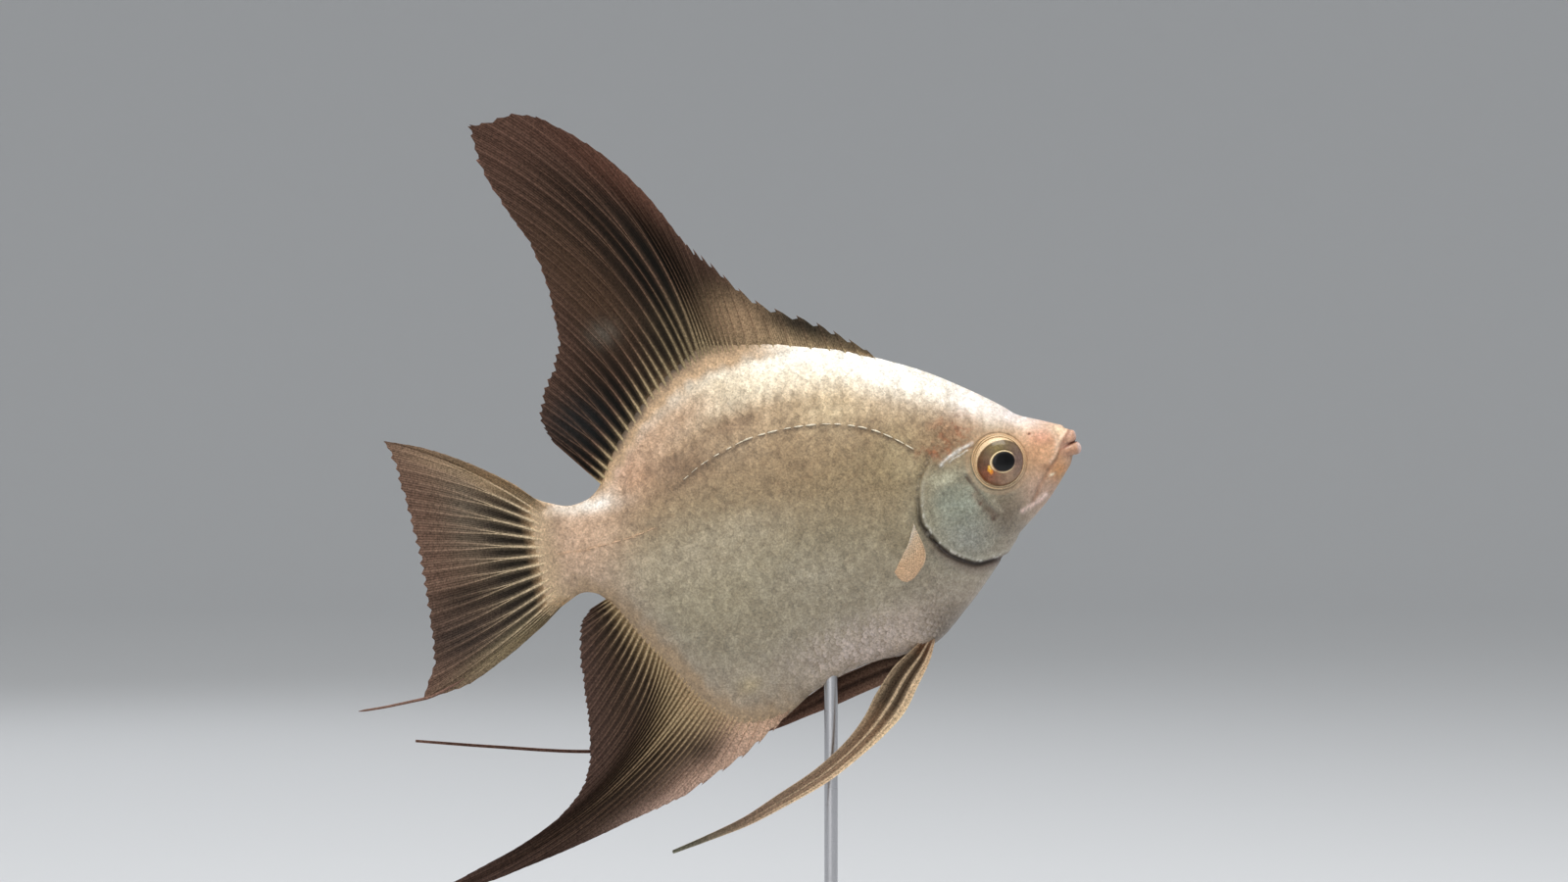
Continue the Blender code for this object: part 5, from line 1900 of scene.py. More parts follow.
@dataclass
class RayFin:
    """A fin of tapering rays, each soft one split in two, with thin skin between them.

    A subclass says where a place at a fractional ray and a share along it lies.
    """

    node: str
    shades: FinShades
    spines: int
    soft: int
    slot: str = "fin"
    rows: int = 80
    ray_width: tuple[float, float] = (0.24, 0.05)  # half width at the root and the tip
    ray_thickness: tuple[float, float] = (0.30, 0.11)  # half thickness
    skin_thickness: float = 0.07
    split_at: float = 0.32
    split_reach: float = 0.24  # of the gap to the next ray
    spine_notch: float = 2.2
    soft_notch: float = 0.5
    fray: float = 0.35
    worn: tuple[float, float, float] = (0, 1, 0)  # the ray most frayed, how many rays beside it, and how much
    root_sink: float = 1.1
    tones: tuple[float, ...] = ()  # how much of the rays' colour each ray has, where they differ
    bands: tuple[float, ...] = ()  # how much of it the skin beside each ray has
    seed: int = 3

    @property
    def count(self) -> int:
        """The number of rays."""
        return self.spines + self.soft

    def spot(self, ray: Array, share: Array) -> Array:
        """The place (behind, out, height) at a fractional ray and a share along it."""
        raise NotImplementedError

    def facing(self, ray: Array, share: Array) -> Array:
        """The direction in which the fin's skin has its thickness."""
        return np.broadcast_to(np.array([0.0, 1.0, 0.0]), (*np.shape(ray), 3))

    def notch(self, ray: Array, rng: np.random.Generator) -> Array:
        """Wear the fin's margin.

        Args:
            ray: the fractional rays along the margin.
            rng: the seeded source of small differences.

        Returns:
            How far the margin falls short of the rays' tips at each.
        """
        within = ray - np.floor(ray + 1e-6)
        lobe = self.spine_notch * np.clip(1 - within, 0, 1) ** 1.7
        lobe = lobe * (1 - np.exp(-np.maximum(within, 0) / 0.05))
        tooth = 2 * ray + 0.5
        index = np.floor(tooth).astype(int)
        part = tooth - index
        depth = rng.uniform(0.5, 1.5, 2 * self.count + 3)
        worn = self.fray + self.worn[2] * bell(np.arange(2 * self.count + 4) / 2 - self.worn[0], self.worn[1])
        tips = rng.uniform(0, 1, len(worn)) * worn
        soft = self.soft_notch * depth[index] * np.sin(np.pi * part) ** 0.8
        soft = soft + tips[index] * (1 - part) + tips[index + 1] * part
        return np.where(ray < self.spines - 1e-6, lobe, soft)

    def columns(self, share: Array) -> tuple[Array, Array, Array]:
        """Lay out the fin's columns: nine from each ray to the next, closest together on the rays.

        Args:
            share: the rows' shares along the rays.

        Returns:
            For each row and column, the fractional ray, the half thickness and how much it is a ray.
        """
        rays = np.arange(self.count, dtype=float)
        s = share[:, None]
        here = self.spot(*np.broadcast_arrays(rays, s))
        gap = np.maximum(np.linalg.norm(np.diff(here, axis=1), axis=-1), 0.08)
        root, tip = self.ray_width
        width = tip + (root - tip) * np.clip(1 - share, 0, 1) ** 2.4
        cap = 0.22 + 0.08 * ease(0.35, 0.05, share)
        split = ease(self.split_at, self.split_at + 0.45, share) * self.split_reach
        is_soft = (rays >= self.spines).astype(float)
        found, rayed = [], []
        for n in range(self.count - 1):
            w = np.minimum(width, cap * gap[:, n]) / gap[:, n]
            low, high = (np.maximum(split * soft, 0.5 * w * soft) for soft in is_soft[n:n + 2])
            free = 1 - low - high - 2 * w
            (low_side, low_top), (high_side, high_top) = (
                (np.where(x > w, x - 0.7 * w, 0.5 * np.maximum(x, 0.4 * w)), np.where(x > 0, x, 0.7 * w))
                for x in (low, high))
            for x in (np.zeros_like(w), low_side, low_top, low + w, low + w + free / 3,
                      low + w + 2 * free / 3, 1 - high - w, 1 - high_top, 1 - high_side):
                near = np.min(np.abs([x - low, x + low, x - 1 + high, x - 1 - high]), axis=0)
                found.append(n + x)
                rayed.append(np.sqrt(np.clip(1 - (near / (w * 1.02)) ** 2, 0, 1)))
        found, rayed = abreast(*found, self.count - 1.0), abreast(*rayed, 1.0)
        root, tip = self.ray_thickness
        thickness = root + (tip - root) * np.clip(s, 0, 1)
        return found, self.skin_thickness + (thickness - self.skin_thickness) * rayed, rayed

    def parts(self) -> MeshParts:
        """Shape and paint the fin.

        Returns:
            The fin's mesh.
        """
        rng = np.random.default_rng(self.seed)
        share = np.linspace(0, 1, self.rows)
        ray, thick, rayed = self.columns(share)
        ends = self.spot(*np.broadcast_arrays(ray[-1], np.array([[0.0], [1.0]])))
        length = np.maximum(np.linalg.norm(ends[1] - ends[0], axis=-1), 0.5)
        short = np.clip(self.notch(ray[-1], rng) / length, 0, 0.5)
        start = -self.root_sink / length
        reach = start + (1 - short - start) * share[:, None]
        middle = self.spot(ray, reach)
        thick = thick * (0.45 + 0.55 * ease(1.0, 0.93, share))[:, None]
        across = self.facing(ray, reach) * thick[..., None]
        points, faces = closed_sheet(middle - across, middle + across)
        shown = rayed * (1 - 0.35 * share[:, None])
        if self.tones:
            shown = shown * np.array(self.tones)[np.round(ray).astype(int)]
        if self.bands:
            shown = np.maximum(shown, np.interp(ray, np.arange(self.count), self.bands))
        paint = self.shades.colour(reach, shown, middle[..., 0], middle[..., 2])
        paint = paint * rng.normal(1.0, 0.04, (1, ray.shape[1], 1))
        paint = np.clip(paint, 0, 1).reshape(-1, 3)
        lie = abreast(ray, reach, share[:, None]).reshape(-1, 3)
        return MeshParts(points, [faces], np.concatenate([paint, paint]), rays=np.concatenate([lie, lie]))

    def build(self) -> None:
        """Make the fin's piece."""
        piece = self.parts().build(f"{self.node}_skin", sharp_degrees=70.0)
        fit_piece(piece, FIN_FINISH, self.slot, self.node)


@dataclass
class MedianFin(RayFin):
    """An upright fin on the midplane, drawn through key rays."""

    # Each key: where the root is, tip behind, tip height, and bow as a share of the ray's length
    keys: Keys = ()
    above: bool = True
    spiny_keys: int = 4
    seam: float = 0.3

    def root(self, at: Array) -> tuple[Array, Array]:
        """Where a root lies on the body's edge, as (behind, height)."""
        edge = BODY.back.at(at) + self.seam if self.above else BODY.belly.at(at) - self.seam
        return at, edge

    def spot(self, ray: Array, share: Array) -> Array:
        """Find a place of the fin.

        Args:
            ray: the fractional ray.
            share: the share along it, less than nothing inside the body.

        Returns:
            Rows of (behind, out, height).
        """
        last = len(self.keys) - 1
        if self.spines:
            soft = self.spiny_keys + (last - self.spiny_keys) * (ray - self.spines) / (self.soft - 1)
            index = np.where(ray < self.spines, self.spiny_keys * ray / self.spines, soft)
        else:
            index = last * ray / (self.count - 1)
        root, tip_behind, tip_height, bow = between(self.keys, index)
        root_behind, root_height = self.root(root)
        db, dh = tip_behind - root_behind, tip_height - root_height
        front = (-dh, db) if self.above else (dh, -db)
        bulge = bow * 4 * share * (1 - share)
        behind = root_behind + db * share + front[0] * bulge
        height = root_height + dh * share + front[1] * bulge
        return abreast(behind, fin_sway(behind, height), height)


@dataclass
class TailFin(MedianFin):
    """The tail fin, whose roots stand one above the other, with a thread at its lower corner."""

    ray_width: tuple[float, float] = (0.34, 0.06)
    ray_thickness: tuple[float, float] = (0.34, 0.11)
    soft_notch: float = 0.42
    fray: float = 0.3
    root_sink: float = 2.2
    root_behind: float = 79.8
    thread: Keys = ()
    thread_radius: float = 0.30
    thread_points: int = 60
    thread_sides: int = 10

    def root(self, at: Array) -> tuple[Array, Array]:
        """Where a root lies: at one distance behind the snout."""
        return np.full_like(at, self.root_behind), at

    def parts(self) -> MeshParts:
        """Shape and paint the fin and its thread.

        Returns:
            Their mesh.
        """
        at = np.linspace(0, len(self.thread) - 1, self.thread_points)
        behind, height = between(self.thread, at)
        line = abreast(behind, fin_sway(behind, height), height)
        radii = self.thread_radius * (1 - 0.45 * at / at[-1]) * ease(-0.1, 1.6, at)
        radii[-3:] *= np.array([0.8, 0.55, 0.25])
        thread = tube_parts(line, radii, self.thread_sides, linear(122, 94, 82))
        return joined([super().parts(), thread])


@dataclass
class PelvicFin(RayFin):
    """A long narrow blade under the throat that hollows across its breadth and tapers to a thread."""

    # (behind, height, out from the midplane, breadth) down its middle
    middle: Keys = ()
    side: Side = Side.RIGHT
    fold: float = 0.5
    run_on: float = 8.0  # millimetres of its root inside the body, to each share less than nothing
    skin_thickness: float = 0.10
    split_at: float = 2.0
    soft_notch: float = 0.0
    root_sink: float = 0.0

    def spot(self, ray: Array, share: Array) -> Array:
        """Find a place of the blade.

        Args:
            ray: the fractional ray.
            share: the share along it, less than nothing inside the body.

        Returns:
            Rows of (behind, out, height).
        """
        last = len(self.middle) - 1
        index = np.clip(share, 0, 1) * last
        behind, height, out, breadth = between(self.middle, index)
        before = between(self.middle, np.maximum(index - 0.3, 0))
        after = between(self.middle, np.minimum(index + 0.3, last))
        db, dh = after[0] - before[0], after[1] - before[1]
        length = np.hypot(db, dh)
        across = 2 * ray / (self.count - 1) - 1
        inside = np.minimum(share, 0)
        behind = behind + dh / length * across * breadth / 2 + db / length * inside * self.run_on
        height = height - db / length * across * breadth / 2 + dh / length * inside * self.run_on
        hollow = self.fold * (across**2 - 0.5) * np.minimum(1.0, breadth / 3)
        return abreast(behind, self.side.value * (out + hollow), height)


@dataclass
class PectoralFin(RayFin):
    """A half-folded fan that stands out from the flank, back and down."""

    slot: str = "clear_fin"
    rows: int = 50
    ray_width: tuple[float, float] = (0.16, 0.08)
    ray_thickness: tuple[float, float] = (0.24, 0.09)
    skin_thickness: float = 0.06
    soft_notch: float = 0.15
    root_sink: float = 0.9
    seed: int = 17
    side: Side = Side.RIGHT
    root_behind: float = 27.4
    root_height: float = -8.2
    root_tall: float = 2.6
    root_long: float = 1.5
    length: float = 14.5
    reach: tuple[float, float, float] = (-0.16, 0.90, -0.41)  # ahead, out and up, along the fin
    lead: tuple[float, float, float] = (0.95, 0.27, 0.14)  # towards the leading edge
    fan: float = 2.3

    def axes(self) -> tuple[Array, Array]:
        """Find the fin's own axes, on the fish's left.

        Returns:
            The directions along the fin and towards its leading edge.
        """
        along = unit(np.array(self.reach))
        lead = np.array(self.lead)
        return along, unit(lead - along * (lead @ along))

    def spot(self, ray: Array, share: Array) -> Array:
        """Find a place of the fin.

        Args:
            ray: the fractional ray.
            share: the share along it, less than nothing inside the body.

        Returns:
            Rows of (behind, out, height).
        """
        along, lead = self.axes()
        fan = (2 * ray / (self.count - 1) - 1)[..., None]
        s = np.asarray(share)[..., None]
        out = BODY.breadth(np.array([self.root_behind]), np.array([self.root_height]))[0] + 0.6
        start = np.array([-self.root_behind, out, self.root_height])
        root = start + fan * np.array([self.root_long / 2, 0.0, self.root_tall / 2])
        tip = start + along * self.length * (1 - 0.28 * fan**2 + 0.06 * fan) + lead * (self.fan * fan)
        wave = np.sin(np.pi * np.clip(s, 0, 1))
        spot = root + (tip - root) * s + lead * (0.8 * fan * wave) + np.array([0.0, 0.0, -0.9]) * wave
        return spot * np.array([-1.0, self.side.value, 1.0])

    def facing(self, ray: Array, share: Array) -> Array:
        """Find the direction across the fin's skin.

        Args:
            ray: the fractional ray.
            share: the share along it, less than nothing inside the body; not used.

        Returns:
            The same direction for each place.
        """
        along, lead = self.axes()
        direction = np.cross(along, lead) * np.array([-1.0, self.side.value, 1.0])
        return np.broadcast_to(direction, (*np.shape(ray), 3))


@dataclass
class Fins:
    """All the fins, with their rays and colours."""

    dorsal_keys: Keys = (
        (27.3, 28.3, 20.8, 0), (33.5, 34.5, 25.9, 0.02), (41.5, 42.8, 31.1, 0.03), (46.5, 48.2, 38, 0.02),
        (48.5, 51.3, 42, 0.01), (49.6, 54.9, 49.2, 0.02), (50.6, 60.3, 57, 0.05), (51.6, 66.6, 62.9, 0.08),
        (52.6, 72.8, 66.5, 0.10), (53.8, 80.3, 66.4, 0.10), (55.5, 79.4, 60.4, 0.09), (57.5, 76.5, 52, 0.07),
        (59.5, 74, 46, 0.06), (61.5, 72.9, 39, 0.05), (63.5, 72.8, 33, 0.04), (65.5, 74.2, 28.5, 0.03),
        (67.5, 76.6, 24.5, 0.03), (69.3, 78.1, 20.4, 0.02), (70.9, 76.9, 16.8, 0))
    anal_keys: Keys = (
        (50.2, 51.4, -31.4, 0), (52.5, 54.8, -33.2, 0), (54.7, 59, -35.5, 0.02), (56.6, 64, -37.5, 0.03),
        (58, 69.5, -39.6, 0.04), (59.2, 76.5, -41.1, 0.06), (60.2, 84.5, -43, 0.07), (61.2, 93, -44.7, 0.07),
        (62.1, 101.5, -46, 0.07), (63, 110.5, -46.2, 0.09), (64, 102, -43.8, 0.09),
        (65, 94.8, -41.7, 0.09), (66, 88, -38.7, 0.09), (67, 83.9, -35.4, 0.09), (68, 81.6, -31.4, 0.06),
        (69.2, 80.6, -26.5, 0.03), (70.4, 80.1, -22, 0.02), (71.6, 79.8, -17, 0.01), (72.8, 78.8, -11.4, 0),
        (73.8, 76.8, -9.1, 0))
    tail_keys: Keys = (
        (7.4, 84, 12, 0), (6.9, 90, 16.4, 0.02), (6.4, 96, 19.9, 0.03), (5.8, 101.6, 22.1, 0.05),
        (4.5, 100.6, 17.2, 0.04), (2.8, 100.3, 11.3, 0.02), (1, 100.1, 5.2, 0.01), (-0.8, 100.2, -0.7, 0),
        (-2.6, 100.5, -6.7, -0.02), (-4.3, 101.4, -12.4, -0.03), (-5.6, 104.2, -17.2, -0.03),
        (-6.3, 98, -16.6, -0.01), (-6.8, 91, -13.9, 0), (-7.2, 84, -10.1, 0))
    tail_thread: Keys = ((95, -14.3), (99, -15.9), (103.5, -16.9), (108.5, -16.9), (113.4, -16.7))
    right_pelvic: Keys = (
        (27.6, -23.6, 1.2, 1.6), (29.7, -26, 1.7, 3.2), (32.6, -28.6, 2.3, 4.6), (35.4, -31.7, 3, 5.1),
        (38.4, -34.5, 3.7, 4.1), (42.6, -37.4, 4.4, 3.1), (48, -40.2, 5.2, 2.6), (54.2, -42.4, 5.9, 2.1),
        (60.4, -44.4, 6.4, 1.4), (66, -45.5, 6.8, 0.9), (71.8, -46.5, 7, 0.5))
    left_pelvic: Keys = (
        (30.2, -25.2, 1.2, 1.2), (32.2, -26.6, 1.7, 2.2), (36, -27.4, 2.8, 3.7), (42, -28.7, 4, 3.7),
        (48, -30.4, 4.9, 2.6), (56, -32.1, 5.6, 1.4), (68, -32.3, 6.2, 0.7), (81.2, -30.2, 6.2, 0.5),
        (95.4, -26.4, 5.6, 0.45), (106.6, -23.1, 5, 0.4))
    dorsal_shades: FinShades = FinShades(
        rays=((0, 196, 178, 138), (0.12, 196, 172, 134), (0.28, 140, 110, 90), (0.6, 110, 84, 70),
              (1, 108, 82, 70)),
        skin=((0, 170, 142, 110), (0.05, 118, 96, 72), (0.11, 44, 36, 26), (0.17, 16, 13, 9),
              (0.4, 17, 13, 9), (0.7, 46, 33, 25),
              (1, 74, 54, 45)),
        patches=(Patch(67, 38, 15, 4.6, (74, 55, 42), 0.9, -59),
                 Patch(58.5, 53, 16, 2.4, (98, 66, 54), 0.75, -47),
                 Patch(74, 62, 8, 6, (88, 63, 52), 0.5, -30),
                 Patch(38, 23.5, 13, 3.2, (158, 136, 106), 0.9, -22),
                 Patch(38, 26.9, 10, 1.8, (36, 33, 27), 1, -32),
                 Patch(46, 28.8, 5.5, 3.8, (168, 140, 110), 0.8, -40),
                 Patch(56, 33, 8, 3.4, (12, 10, 7), 0.8, -62),
                 Patch(57, 27, 5, 3.6, (26, 21, 15), 0.85, -50),
                 Patch(73, 19, 5, 4, (28, 32, 34), 0.7),
                 Patch(66, 31, 2.2, 1.8, (108, 102, 92), 0.5)),
        edge=(150, 112, 100))
    anal_shades: FinShades = FinShades(
        rays=((0, 196, 168, 132), (0.12, 200, 176, 138), (0.28, 172, 146, 116), (0.5, 126, 100, 82),
              (1, 116, 90, 80)),
        skin=((0, 156, 130, 98), (0.08, 120, 100, 72), (0.16, 82, 66, 46), (0.26, 44, 34, 24),
              (0.45, 50, 39, 31),
              (0.7, 60, 46, 39),
              (1, 76, 58, 51)),
        patches=(Patch(56, -31.5, 6.5, 3.8, (208, 174, 148), 0.95),
                 Patch(63, -36, 9, 2.8, (212, 178, 156), 0.95, 22),
                 Patch(72, -40, 9, 1.6, (196, 166, 150), 0.8, 16),
                 Patch(64, -33, 3, 3, (16, 13, 10), 0.6)),
        edge=(120, 92, 84))
    tail_shades: FinShades = FinShades(
        rays=((0, 208, 180, 144), (0.14, 220, 198, 164), (0.4, 206, 184, 152), (0.65, 152, 126, 106),
              (1, 124, 98, 84)),
        skin=((0, 200, 170, 132), (0.12, 196, 166, 130), (0.17, 120, 98, 74), (0.22, 36, 30, 22),
              (0.42, 44, 37, 30), (0.62, 92, 74, 60), (1, 104, 80, 68)),
        patches=(Patch(92, 17, 9, 3.2, (158, 132, 108), 0.7, -32),
                 Patch(86, 12.6, 9, 1.5, (192, 164, 128), 0.9, -34),
                 Patch(92, 9, 3, 8, (104, 98, 86), 0.45),
                 Patch(94, -3.4, 5, 1.8, (24, 20, 16), 0.85),
                 Patch(95.5, -9, 8, 5, (50, 42, 38), 0.9),
                 Patch(88, -11.8, 10, 1.7, (170, 154, 122), 0.85, 24)),
        edge=(116, 88, 76))
    pelvic_shades: FinShades = FinShades(
        rays=((0, 228, 200, 172), (0.08, 250, 218, 180), (0.4, 255, 226, 186), (0.8, 230, 204, 174),
              (1, 170, 174, 154)),
        skin=((0, 176, 140, 110), (0.05, 96, 58, 34), (0.12, 46, 27, 16), (0.30, 42, 26, 16),
              (0.40, 116, 88, 66),
              (0.55, 156, 128, 104), (0.8, 178, 150, 128), (1, 160, 158, 138)))
    far_pelvic_shades: FinShades = FinShades(
        rays=((0, 176, 148, 126), (0.3, 150, 116, 98), (0.6, 156, 118, 102), (1, 156, 118, 102)),
        skin=((0, 96, 76, 62), (0.10, 44, 32, 26), (0.4, 58, 43, 36), (0.6, 130, 98, 84), (1, 140, 106, 92)))
    pectoral_shades: FinShades = FinShades(
        rays=((0, 250, 240, 226), (0.14, 230, 208, 182), (0.4, 206, 178, 148), (1, 200, 170, 142)),
        skin=((0, 240, 226, 206), (0.14, 214, 190, 162), (0.4, 190, 160, 130), (1, 190, 160, 132)))

    def build(self) -> None:
        """Make every fin."""
        fins = [
            MedianFin("dorsal_fin", self.dorsal_shades, 12, 26, rows=96, worn=(20.0, 3.0, 1.3),
                      tones=(1.0,) * 12 + (0.85,) * 12 + (0.95,) * 14, keys=self.dorsal_keys),
            MedianFin("anal_fin", self.anal_shades, 6, 36, rows=104, seed=5, soft_notch=0.4, above=False,
                      keys=self.anal_keys),
            TailFin("tail_fin", self.tail_shades, 0, 25, rows=84, seed=9, keys=self.tail_keys,
                    thread=self.tail_thread),
            PelvicFin("pelvic_fin_right", self.pelvic_shades, 0, 7, rows=150, seed=11, fray=0.22,
                      ray_width=(0.42, 0.07), ray_thickness=(0.32, 0.2),
                      tones=(0.6, 0.1, 0.05, 0.75, 0.05, 0.9, 1.0),
                      bands=(0.45, 0.15, 0.0, 0.25, 0.0, 0.45, 1.0),
                      middle=self.right_pelvic, side=Side.RIGHT),
            PelvicFin("pelvic_fin_left", self.far_pelvic_shades, 0, 7, rows=170, seed=13, fray=0.0,
                      ray_width=(0.34, 0.07), ray_thickness=(0.28, 0.15),
                      tones=(0.7, 0.1, 0.4, 0.1, 0.6, 0.9, 1.0),
                      bands=(0.0, 0.3, 0.5, 0.05, 0.3, 0.75, 0.95),
                      middle=self.left_pelvic, side=Side.LEFT),
            *(PectoralFin(f"pectoral_fin_{side.word}", self.pectoral_shades, 0, 13, side=side)
              for side in Side)]
        for fin in fins:
            fin.build()


# Eyes


@dataclass
class EyeBall:
    """A glass eye: black pupil, thin gold ring, brown iris, and the double fleshy ring round it."""

    ball_rings: int = 52
    flesh_rings: int = 40
    segments: int = 160
    pupil_long: float = 1.72
    pupil_tall: float = 1.46
    pupil_ahead: float = 0.48
    pupil_up: float = -0.14
    pupil_rings: int = 18
    iris_long: float = 3.80
    iris_tall: float = 3.42
    iris_ahead: float = 0.34
    iris_up: float = -0.30
    bulge: float = 0.07
    # The iris round its middle: degrees from straight ahead, colour
    iris: Stops = (
        (0, 120, 98, 90), (45, 108, 90, 68), (90, 126, 110, 68), (135, 106, 84, 56), (180, 106, 72, 50),
        (215, 142, 82, 52), (250, 146, 108, 84), (290, 164, 134, 108), (330, 138, 112, 96),
        (360, 120, 98, 90))
    # The gold ring round the pupil: degrees from straight ahead, how clearly it shows
    gold: tuple[tuple[float, float], ...] = (
        (0, 0.1), (22, 0.2), (34, 1), (60, 0.95), (160, 1), (205, 0.9), (224, 0.3), (238, 0.7), (270, 1),
        (300, 0.9), (322, 0.5), (338, 0.1), (360, 0.1))
    # Each gold fleck: ahead, up, half width, colour
    flecks: tuple[tuple[float, float, float, Shade], ...] = (
        (-1.62, -1.30, 0.50, (236, 140, 48)), (-1.82, -0.92, 0.52, (252, 172, 40)),
        (-1.78, -0.50, 0.34, (252, 196, 90)),
        (-1.74, -0.80, 0.26, (255, 214, 120)))
    # The fleshy folds: how far out, half width, colour, strength, and degrees to the clearest side; the pale
    # ones are painted highlights on the ridges, clearest towards the top, and the dark ones painted shade in
    # the creases
    folds: tuple[tuple[float, float, Shade, float, float], ...] = (
        (3.65, 0.05, (112, 84, 56), 0.5, 200), (3.76, 0.13, (242, 208, 162), 0.88, 118),
        (3.91, 0.06, (96, 68, 48), 0.8, 205), (4.06, 0.11, (230, 188, 140), 0.82, 150),
        (4.24, 0.07, (140, 112, 86), 0.5, 190))

    def oval(self, ahead: Array, up: Array) -> Array:
        """How far out from the pupil's middle each place is, as a share of the pupil."""
        return np.hypot((ahead - self.pupil_ahead) / self.pupil_long, (up - self.pupil_up) / self.pupil_tall)

    def paint(self, ahead: Array, up: Array) -> Array:
        """The ball's colours.

        Args:
            ahead: how far ahead of its middle each place is.
            up: how far above.

        Returns:
            Linear colours.
        """
        degrees = np.degrees(np.arctan2(up, ahead)) % 360
        iris = shade_at(self.iris, degrees)
        grain = 0.20 * Mottle(0.34, 0.34, 51).at(ahead, up) + 0.13 * Mottle(0.16, 0.16, 52).at(ahead, up)
        iris = iris * (1 + grain)[..., None]
        reach = np.hypot((ahead - self.iris_ahead) / self.iris_long, (up - self.iris_up) / self.iris_tall)
        # The pale rim round the iris, widened at the top and back by a painted highlight
        reach = reach + 0.03 * bell(degrees - 120, 40.0) + 0.006 * Mottle(0.3, 0.3, 54).at(ahead, up)
        iris = painted(iris, (84, 60, 42), 0.35 * bell(reach - 0.93, 0.05))
        iris = painted(iris, (236, 206, 166), ease(0.975, 1.02, reach))
        oval = self.oval(ahead, up)
        around = np.degrees(np.arctan2(up - self.pupil_up, ahead - self.pupil_ahead)) % 360
        shown = np.interp(around, *np.array(self.gold).T)
        wide = 0.045 + 0.05 * bell(around - 190, 60.0)
        ring = bell(oval - 1.03 - wide, wide * (0.5 + 0.5 * shown))
        colour = painted(iris, (252, 226, 178), shown * ring)
        for x, y, size, shade in self.flecks:
            place = np.hypot(1.25 * (ahead - x), up - y) + 0.07 * Mottle(0.2, 0.2, 53).at(ahead, up)
            colour = painted(colour, shade, ease(size, size * 0.4, place) * ease(1.04, 1.14, oval))
        return painted(colour, (1, 1, 2), ease(1.02, 0.98, oval))

    def grid(self) -> tuple[Array, Array, Array, Array]:
        """Lay out the eye's rings, which gather round the pupil and spread to the skin.

        Returns:
            How far ahead of the eye's middle each point lies, how far above and how far out, ring by ring,
            and its colour where it is part of the ball.
        """
        around = all_round(self.segments)
        spread = self.ball_rings - self.pupil_rings
        inner = np.arange(1, self.pupil_rings + 1)[:, None] / self.pupil_rings
        outer = np.arange(1, spread + 1)[:, None] / spread
        centre = np.concatenate([np.ones_like(inner), 1 - outer])
        long, tall = (np.concatenate([size * inner, size + (EYE.opening - size) * outer])
                      for size in (self.pupil_long, self.pupil_tall))
        flesh = np.linspace(EYE.opening, EYE.ring_end, self.flesh_rings + 1)[1:]
        rings = np.concatenate([flesh, [EYE.ring_end - 0.3, 3.4, 2.2, 1.0]])[:, None]
        ahead = np.concatenate([self.pupil_ahead * centre + long * np.cos(around), rings * np.cos(around)])
        up = np.concatenate([self.pupil_up * centre + tall * np.sin(around), rings * np.sin(around)])
        oval = self.oval(ahead, up)
        depth = EYE.ball_depth(np.hypot(ahead, up)) + self.bulge * ease(1.05, 0.8, oval)
        depth = depth - 0.05 * bell(oval - 1.15, 0.07)
        fleshy = slice(self.ball_rings, self.ball_rings + self.flesh_rings)
        depth[fleshy] = EYE.ring_depth(ahead[fleshy], up[fleshy])
        depth[fleshy.stop:] = np.array([-0.6, -1.6, -2.2, -2.45])[:, None]
        return ahead, up, depth, self.paint(ahead, up)

    def paint_ring(self, ahead: Array, up: Array, spots: Array) -> Array:
        """Paint the fleshy ring round the eye in the skin's colour, with painted highlights on its folds and
        painted shade in its creases.

        Args:
            ahead: how far ahead of the eye's middle each place is.
            up: how far above.
            spots: where the places are on the fish.

        Returns:
            Linear colours.
        """
        skin = MARKINGS.colour(spots[..., 0], spots[..., 2])
        degrees = np.degrees(np.arctan2(up, ahead))
        uneven = 0.05 * Mottle(0.7, 0.7, 54).at(ahead, up)
        for reach, width, shade, strength, clearest in self.folds:
            clear = 0.25 + 0.75 * (0.5 + 0.5 * np.cos(np.radians(degrees - clearest)))
            skin = painted(skin, shade, strength * clear * bell(np.hypot(ahead, up) - reach + uneven, width))
        return skin

    def build(self, side: Side) -> None:
        """Make one eye: the ball's face, the ring, and a plain back inside the head.

        Args:
            side: which eye.
        """
        ahead, up, depth, paint = self.grid()
        points = EYE.world(ahead, up, depth, side)
        rows, fleshy = self.ball_rings, slice(self.ball_rings, self.ball_rings + self.flesh_rings)
        paint[fleshy] = self.paint_ring(ahead[fleshy], up[fleshy], points[fleshy])
        paint[rows - 1] = (paint[rows - 1] + paint[rows]) / 2
        front = EYE.ball_depth(np.hypot(self.pupil_ahead, self.pupil_up)) + self.bulge
        ends = EYE.world(*np.array([[self.pupil_ahead, 0], [self.pupil_up, 0], [front, -2.5]]), side)
        start, last = ahead.size, ahead.size - self.segments
        faces = [grid_faces(len(ahead), self.segments, wrap=True), end_fans(self.segments, last, start)]
        if side is Side.LEFT:
            faces = [group[:, ::-1] for group in faces]
        paint = np.concatenate([paint.reshape(-1, 3), np.full((2, 3), 0.001)])
        parts = MeshParts(np.concatenate([points.reshape(-1, 3), ends]), faces, paint)
        fit_piece(parts.build(f"eye_{side.word}_glass"), EYE_FINISH, "eye", f"eye_{side.word}")


# Stand


